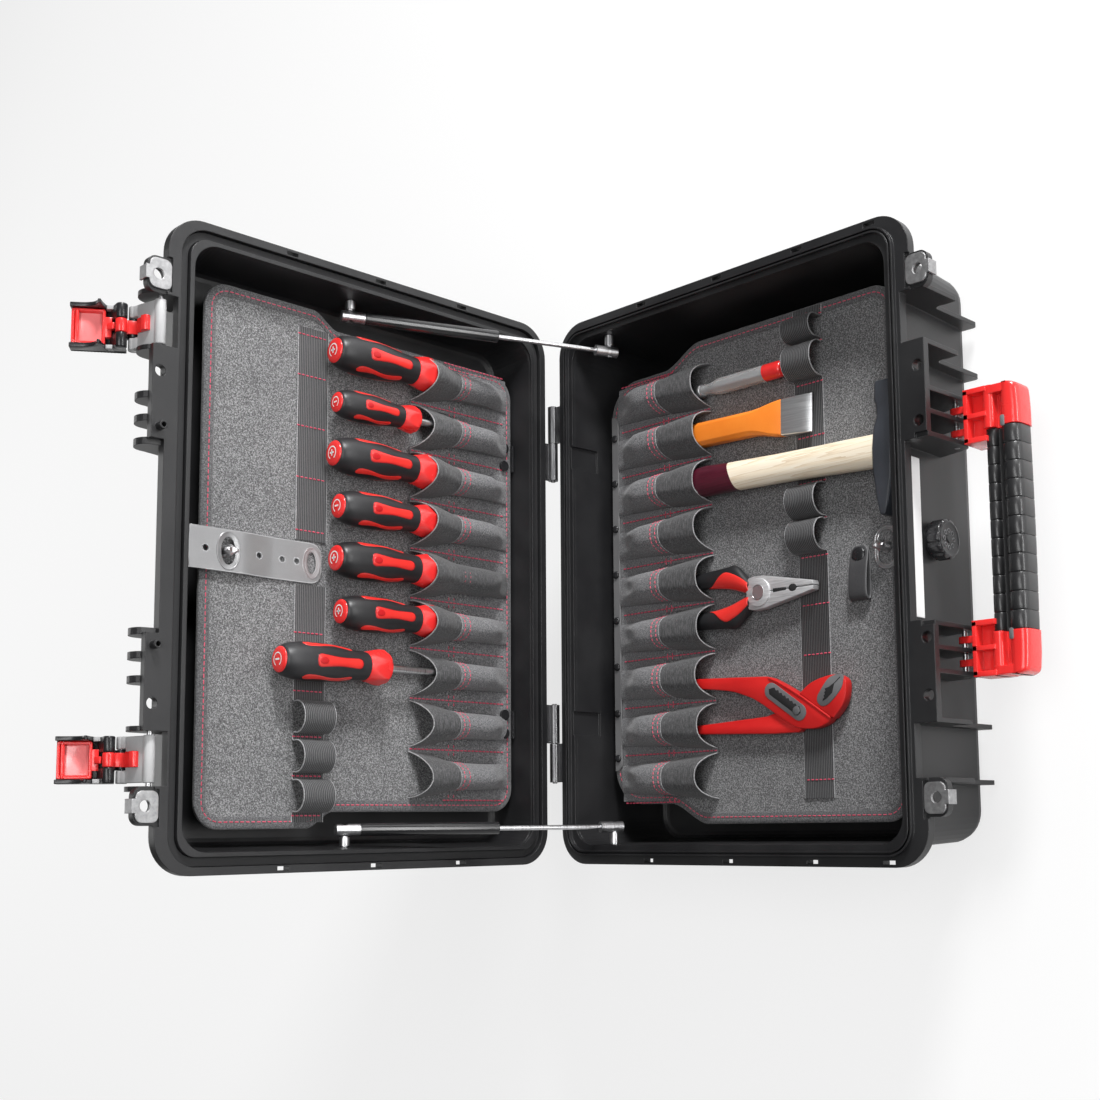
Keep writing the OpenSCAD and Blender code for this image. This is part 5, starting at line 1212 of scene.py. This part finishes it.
def strap():
    u_end, hw, corner, nu, nx = STRAP_HINGE - STRAP_L, STRAP_W / 2, 10, 150, 40
    holes = [(u, 2.2, 2.2) for u in (330, 284, 263, 250)] + [slot[:3] for slot in STRAP_SLOTS]
    grid, verts, faces = [], [], []
    for u in spread(u_end, STRAP_HINGE - 0.5, nu):
        w = hw
        if u < u_end + corner:
            w = hw - corner + math.sqrt(max(0, corner ** 2 - (u_end + corner - u) ** 2))
        if u > STRAP_HINGE - 3.8:
            w = hw - 6.9
        grid.append([[t * w, u] for t in spread(-1, 1, nx)])
    # vertices next to a hole are pulled onto its edge
    for p in (p for row in grid for p in row):
        for cu, a, b in holes:
            e = math.hypot(p[0] / a, (p[1] - cu) / b)
            if abs(e - 1) < 0.55 / min(a, b):
                p[0] /= e
                p[1] = cu + (p[1] - cu) / e
    for x, u in (p for row in grid for p in row):
        sag = 0.25 * math.sin((u - 227) / 17) * (1 if u > 300 else 0.3)
        verts.append(lid(x, u, strap_mid(u) - 0.35 * ease((u - 285) / 20) - 0.15 * sag * (1 - (x / hw) ** 2)))
    for i in range(nu):
        for j in range(nx):
            q = [grid[i][j], grid[i][j + 1], grid[i + 1][j + 1], grid[i + 1][j]]
            x, u = sum(p[0] for p in q) / 4, sum(p[1] for p in q) / 4
            if not any((x / a) ** 2 + ((u - cu) / b) ** 2 < 1 for cu, a, b in holes):
                k = i * (nx + 1) + j
                faces.append((k, k + 1, k + nx + 2, k + nx + 1))
    ob = new_object("lid_strap_leather", verts, faces, "lid_strap", STRAP, 50)
    shape_up(ob, 1.3, bevel=0.35)
    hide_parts("lid_strap")
    eye, roll = Build(), Build()
    for cu, a, b, rise in STRAP_SLOTS:
        eye.rings([[lid((a + grow) * c, cu + (b + grow) * s, strap_mid(cu) - rise * up) for c, s in circle(56, 1)]
                   for grow, up in ((-1.6, 0.1), (-1.5, 0.8), (-0.9, 1.0), (1.4, 1.15), (1.9, 1.5), (2.5, 1.5),
                                    (2.8, 1.0), (2.8, 0.4))], caps=False)
    eye.object("lid_strap_eyelets", "lid_strap", STRAP, "strap_web", 35)
    roll.barrel(lid, -hw + 6.4, hw - 6.4, STRAP_HINGE, strap_mid(STRAP_HINGE), 2.6, crown=0.3)
    roll.object("lid_strap_loop", "lid_strap", STRAP, "strap_web", 40)


def wing_stud(name, place, u, foot, top, node):
    """A post with a faceted turning wing that lies along u."""
    b = Build()
    b.turned(place, 0, u, 32, ((2.5, foot + 3), (2.5, foot), (4.6, foot), (4.6, foot - 1.0), (4.0, foot - 1.6),
                               (3.2, top + 4.4), (3.2, top + 2.6), (1.0, top + 2.4)))
    # the wing: thick in the middle, thin at both ends, with a notch
    half = [(0.1, 4.4, 0.9, 5.8), (0.3, 3.2, 0.3, 5.4), (0.6, 2.2, -0.2, 4.6), (0.9, 1.6, 0.5, 3.6),
            (1.0, 1.1, 1.6, 2.6)]
    rows = []
    for q, w, h0, h1 in [(-q, *rest) for q, *rest in reversed(half)] + half:
        rows.append([place(x, u + q * 5.6, top + h) for x, h in
                     ((-w, h1), (-w, (h0 + h1) / 2), (-w * 0.45, h0), (w * 0.45, h0), (w, (h0 + h1) / 2), (w, h1))])
    b.rings(rows)
    b.object(name, node, CHROME, "steel", 30, 0.3, node=node)


strap()
wing_stud("lid_wing_stud", lid, LID_STUD_U, 23.7, 12.6, "lid_turnlock")
wing_stud("base_wing_stud", base, BASE_STUD_U, 41.0, 28.4, "base_turnlock")


# ---- trim of the base board ----
def base_trim():
    """The stud's oval ring, and the rail strip with its screws."""
    ring, heads, rail = Build(), Build(), Build()
    x0, r = BASE_STUD_X, BASE_STUD_RING
    ring.rings([[base(x, u, BASE_FACE - up) for x, u in
                 rounded(-x0 - grow, x0 + grow, BASE_STUD_U - r - grow, BASE_STUD_U + r + grow, r - 0.1 + grow, 12)]
                for grow, up in ((-4.0, -0.2), (-4.0, 1.0), (-3.4, 1.5), (-2.4, 1.5), (-2.1, 0.9), (-1.2, 0.9),
                                 (-0.9, 1.45), (-0.4, 1.3), (0, 0.6), (0, 0.0))], caps=False)
    ring.object("base_stud_ring", "base_board", CHROME, "steel", 35)
    for x in (138, 97, 56, 15, -26, -67, -108, -147):
        heads.turned(base, x, 38.2, 28, ((3.4, 40.0), (3.4, 39.4), (3.1, 38.9), (2.2, 38.45), (1.0, 38.3)))
    heads.object("base_rail_screws", "base_board", BLACK, "steel", 45, node="base_board_rivets")
    rows, n, half, u0 = [], 80, 158, 34.0
    for x in spread(-half, half, n):
        end = min((half - abs(x)) / 4.0, 1.0)
        u1 = u0 + 8.5 * (0.55 + 0.45 * math.sqrt(max(0.0, 1 - (1 - end) ** 2)))
        rows.append([base(x, u, d) for u, d in ((u0, 42.2), (u0, 40.8), (u0 + 0.7, 40.1), (u1 - 0.7, 40.0),
                                                (u1, 40.6), (u1, 42.2))])
    rail.rings(rows)
    rail.object("base_board_rail_strip", "base_board", RAIL, "strap_web", 40, node="base_board_rail")


def pull_tab():
    """A leather strip folded back on itself and held by a snap head."""
    half, mid, n = 7.8, 298.0, 10
    tab, snap, edge = Build(), Build(), Build()
    path = smooth_line([(3.6, 1.0), (-6, 1.0), (-16, 0.9), (-26, 0.9), (-33, 1.1), (-36, 1.9), (-37.4, 3.4),
                        (-37.2, 5.2), (-35.2, 6.7), (-31, 7.4), (-24, 7.2), (-14, 6.0), (-6, 4.4), (-1, 3.2),
                        (3.6, 2.6)], 4)
    rows = []
    for x, h in path:
        tip = max(0.0, (x + 4) / half)
        hw = half * math.sqrt(max(0.04, 1 - tip ** 2 * 0.75))
        rows.append([base(x, mid + hw * v, BASE_FACE - h - 0.3 * (1 - v ** 2))
                     for v in spread(-1, 1, n)])
    tab.grid(rows)
    shape_up(tab.object("pull_tab_leather", "base_board", LEATHER, "tab_leather", 60, node="pull_tab"), 1.4,
             bevel=0.35)
    snap.turned(base, -3.6, mid, 32, ((6.2, 38.2), (6.2, 37.2), (5.8, 36.5), (4.4, 36.0), (2.0, 35.7),
                                      (0.5, 35.65)))
    snap.object("pull_tab_snap", "base_board", BLACK, "steel", 50)
    for j in (0, n):
        edge.tube([r[j] for r in rows], 0.6)
    edge.object("pull_tab_edges", "base_board", LEATHER_EDGE, "tab_leather", 60)


base_trim()
pull_tab()
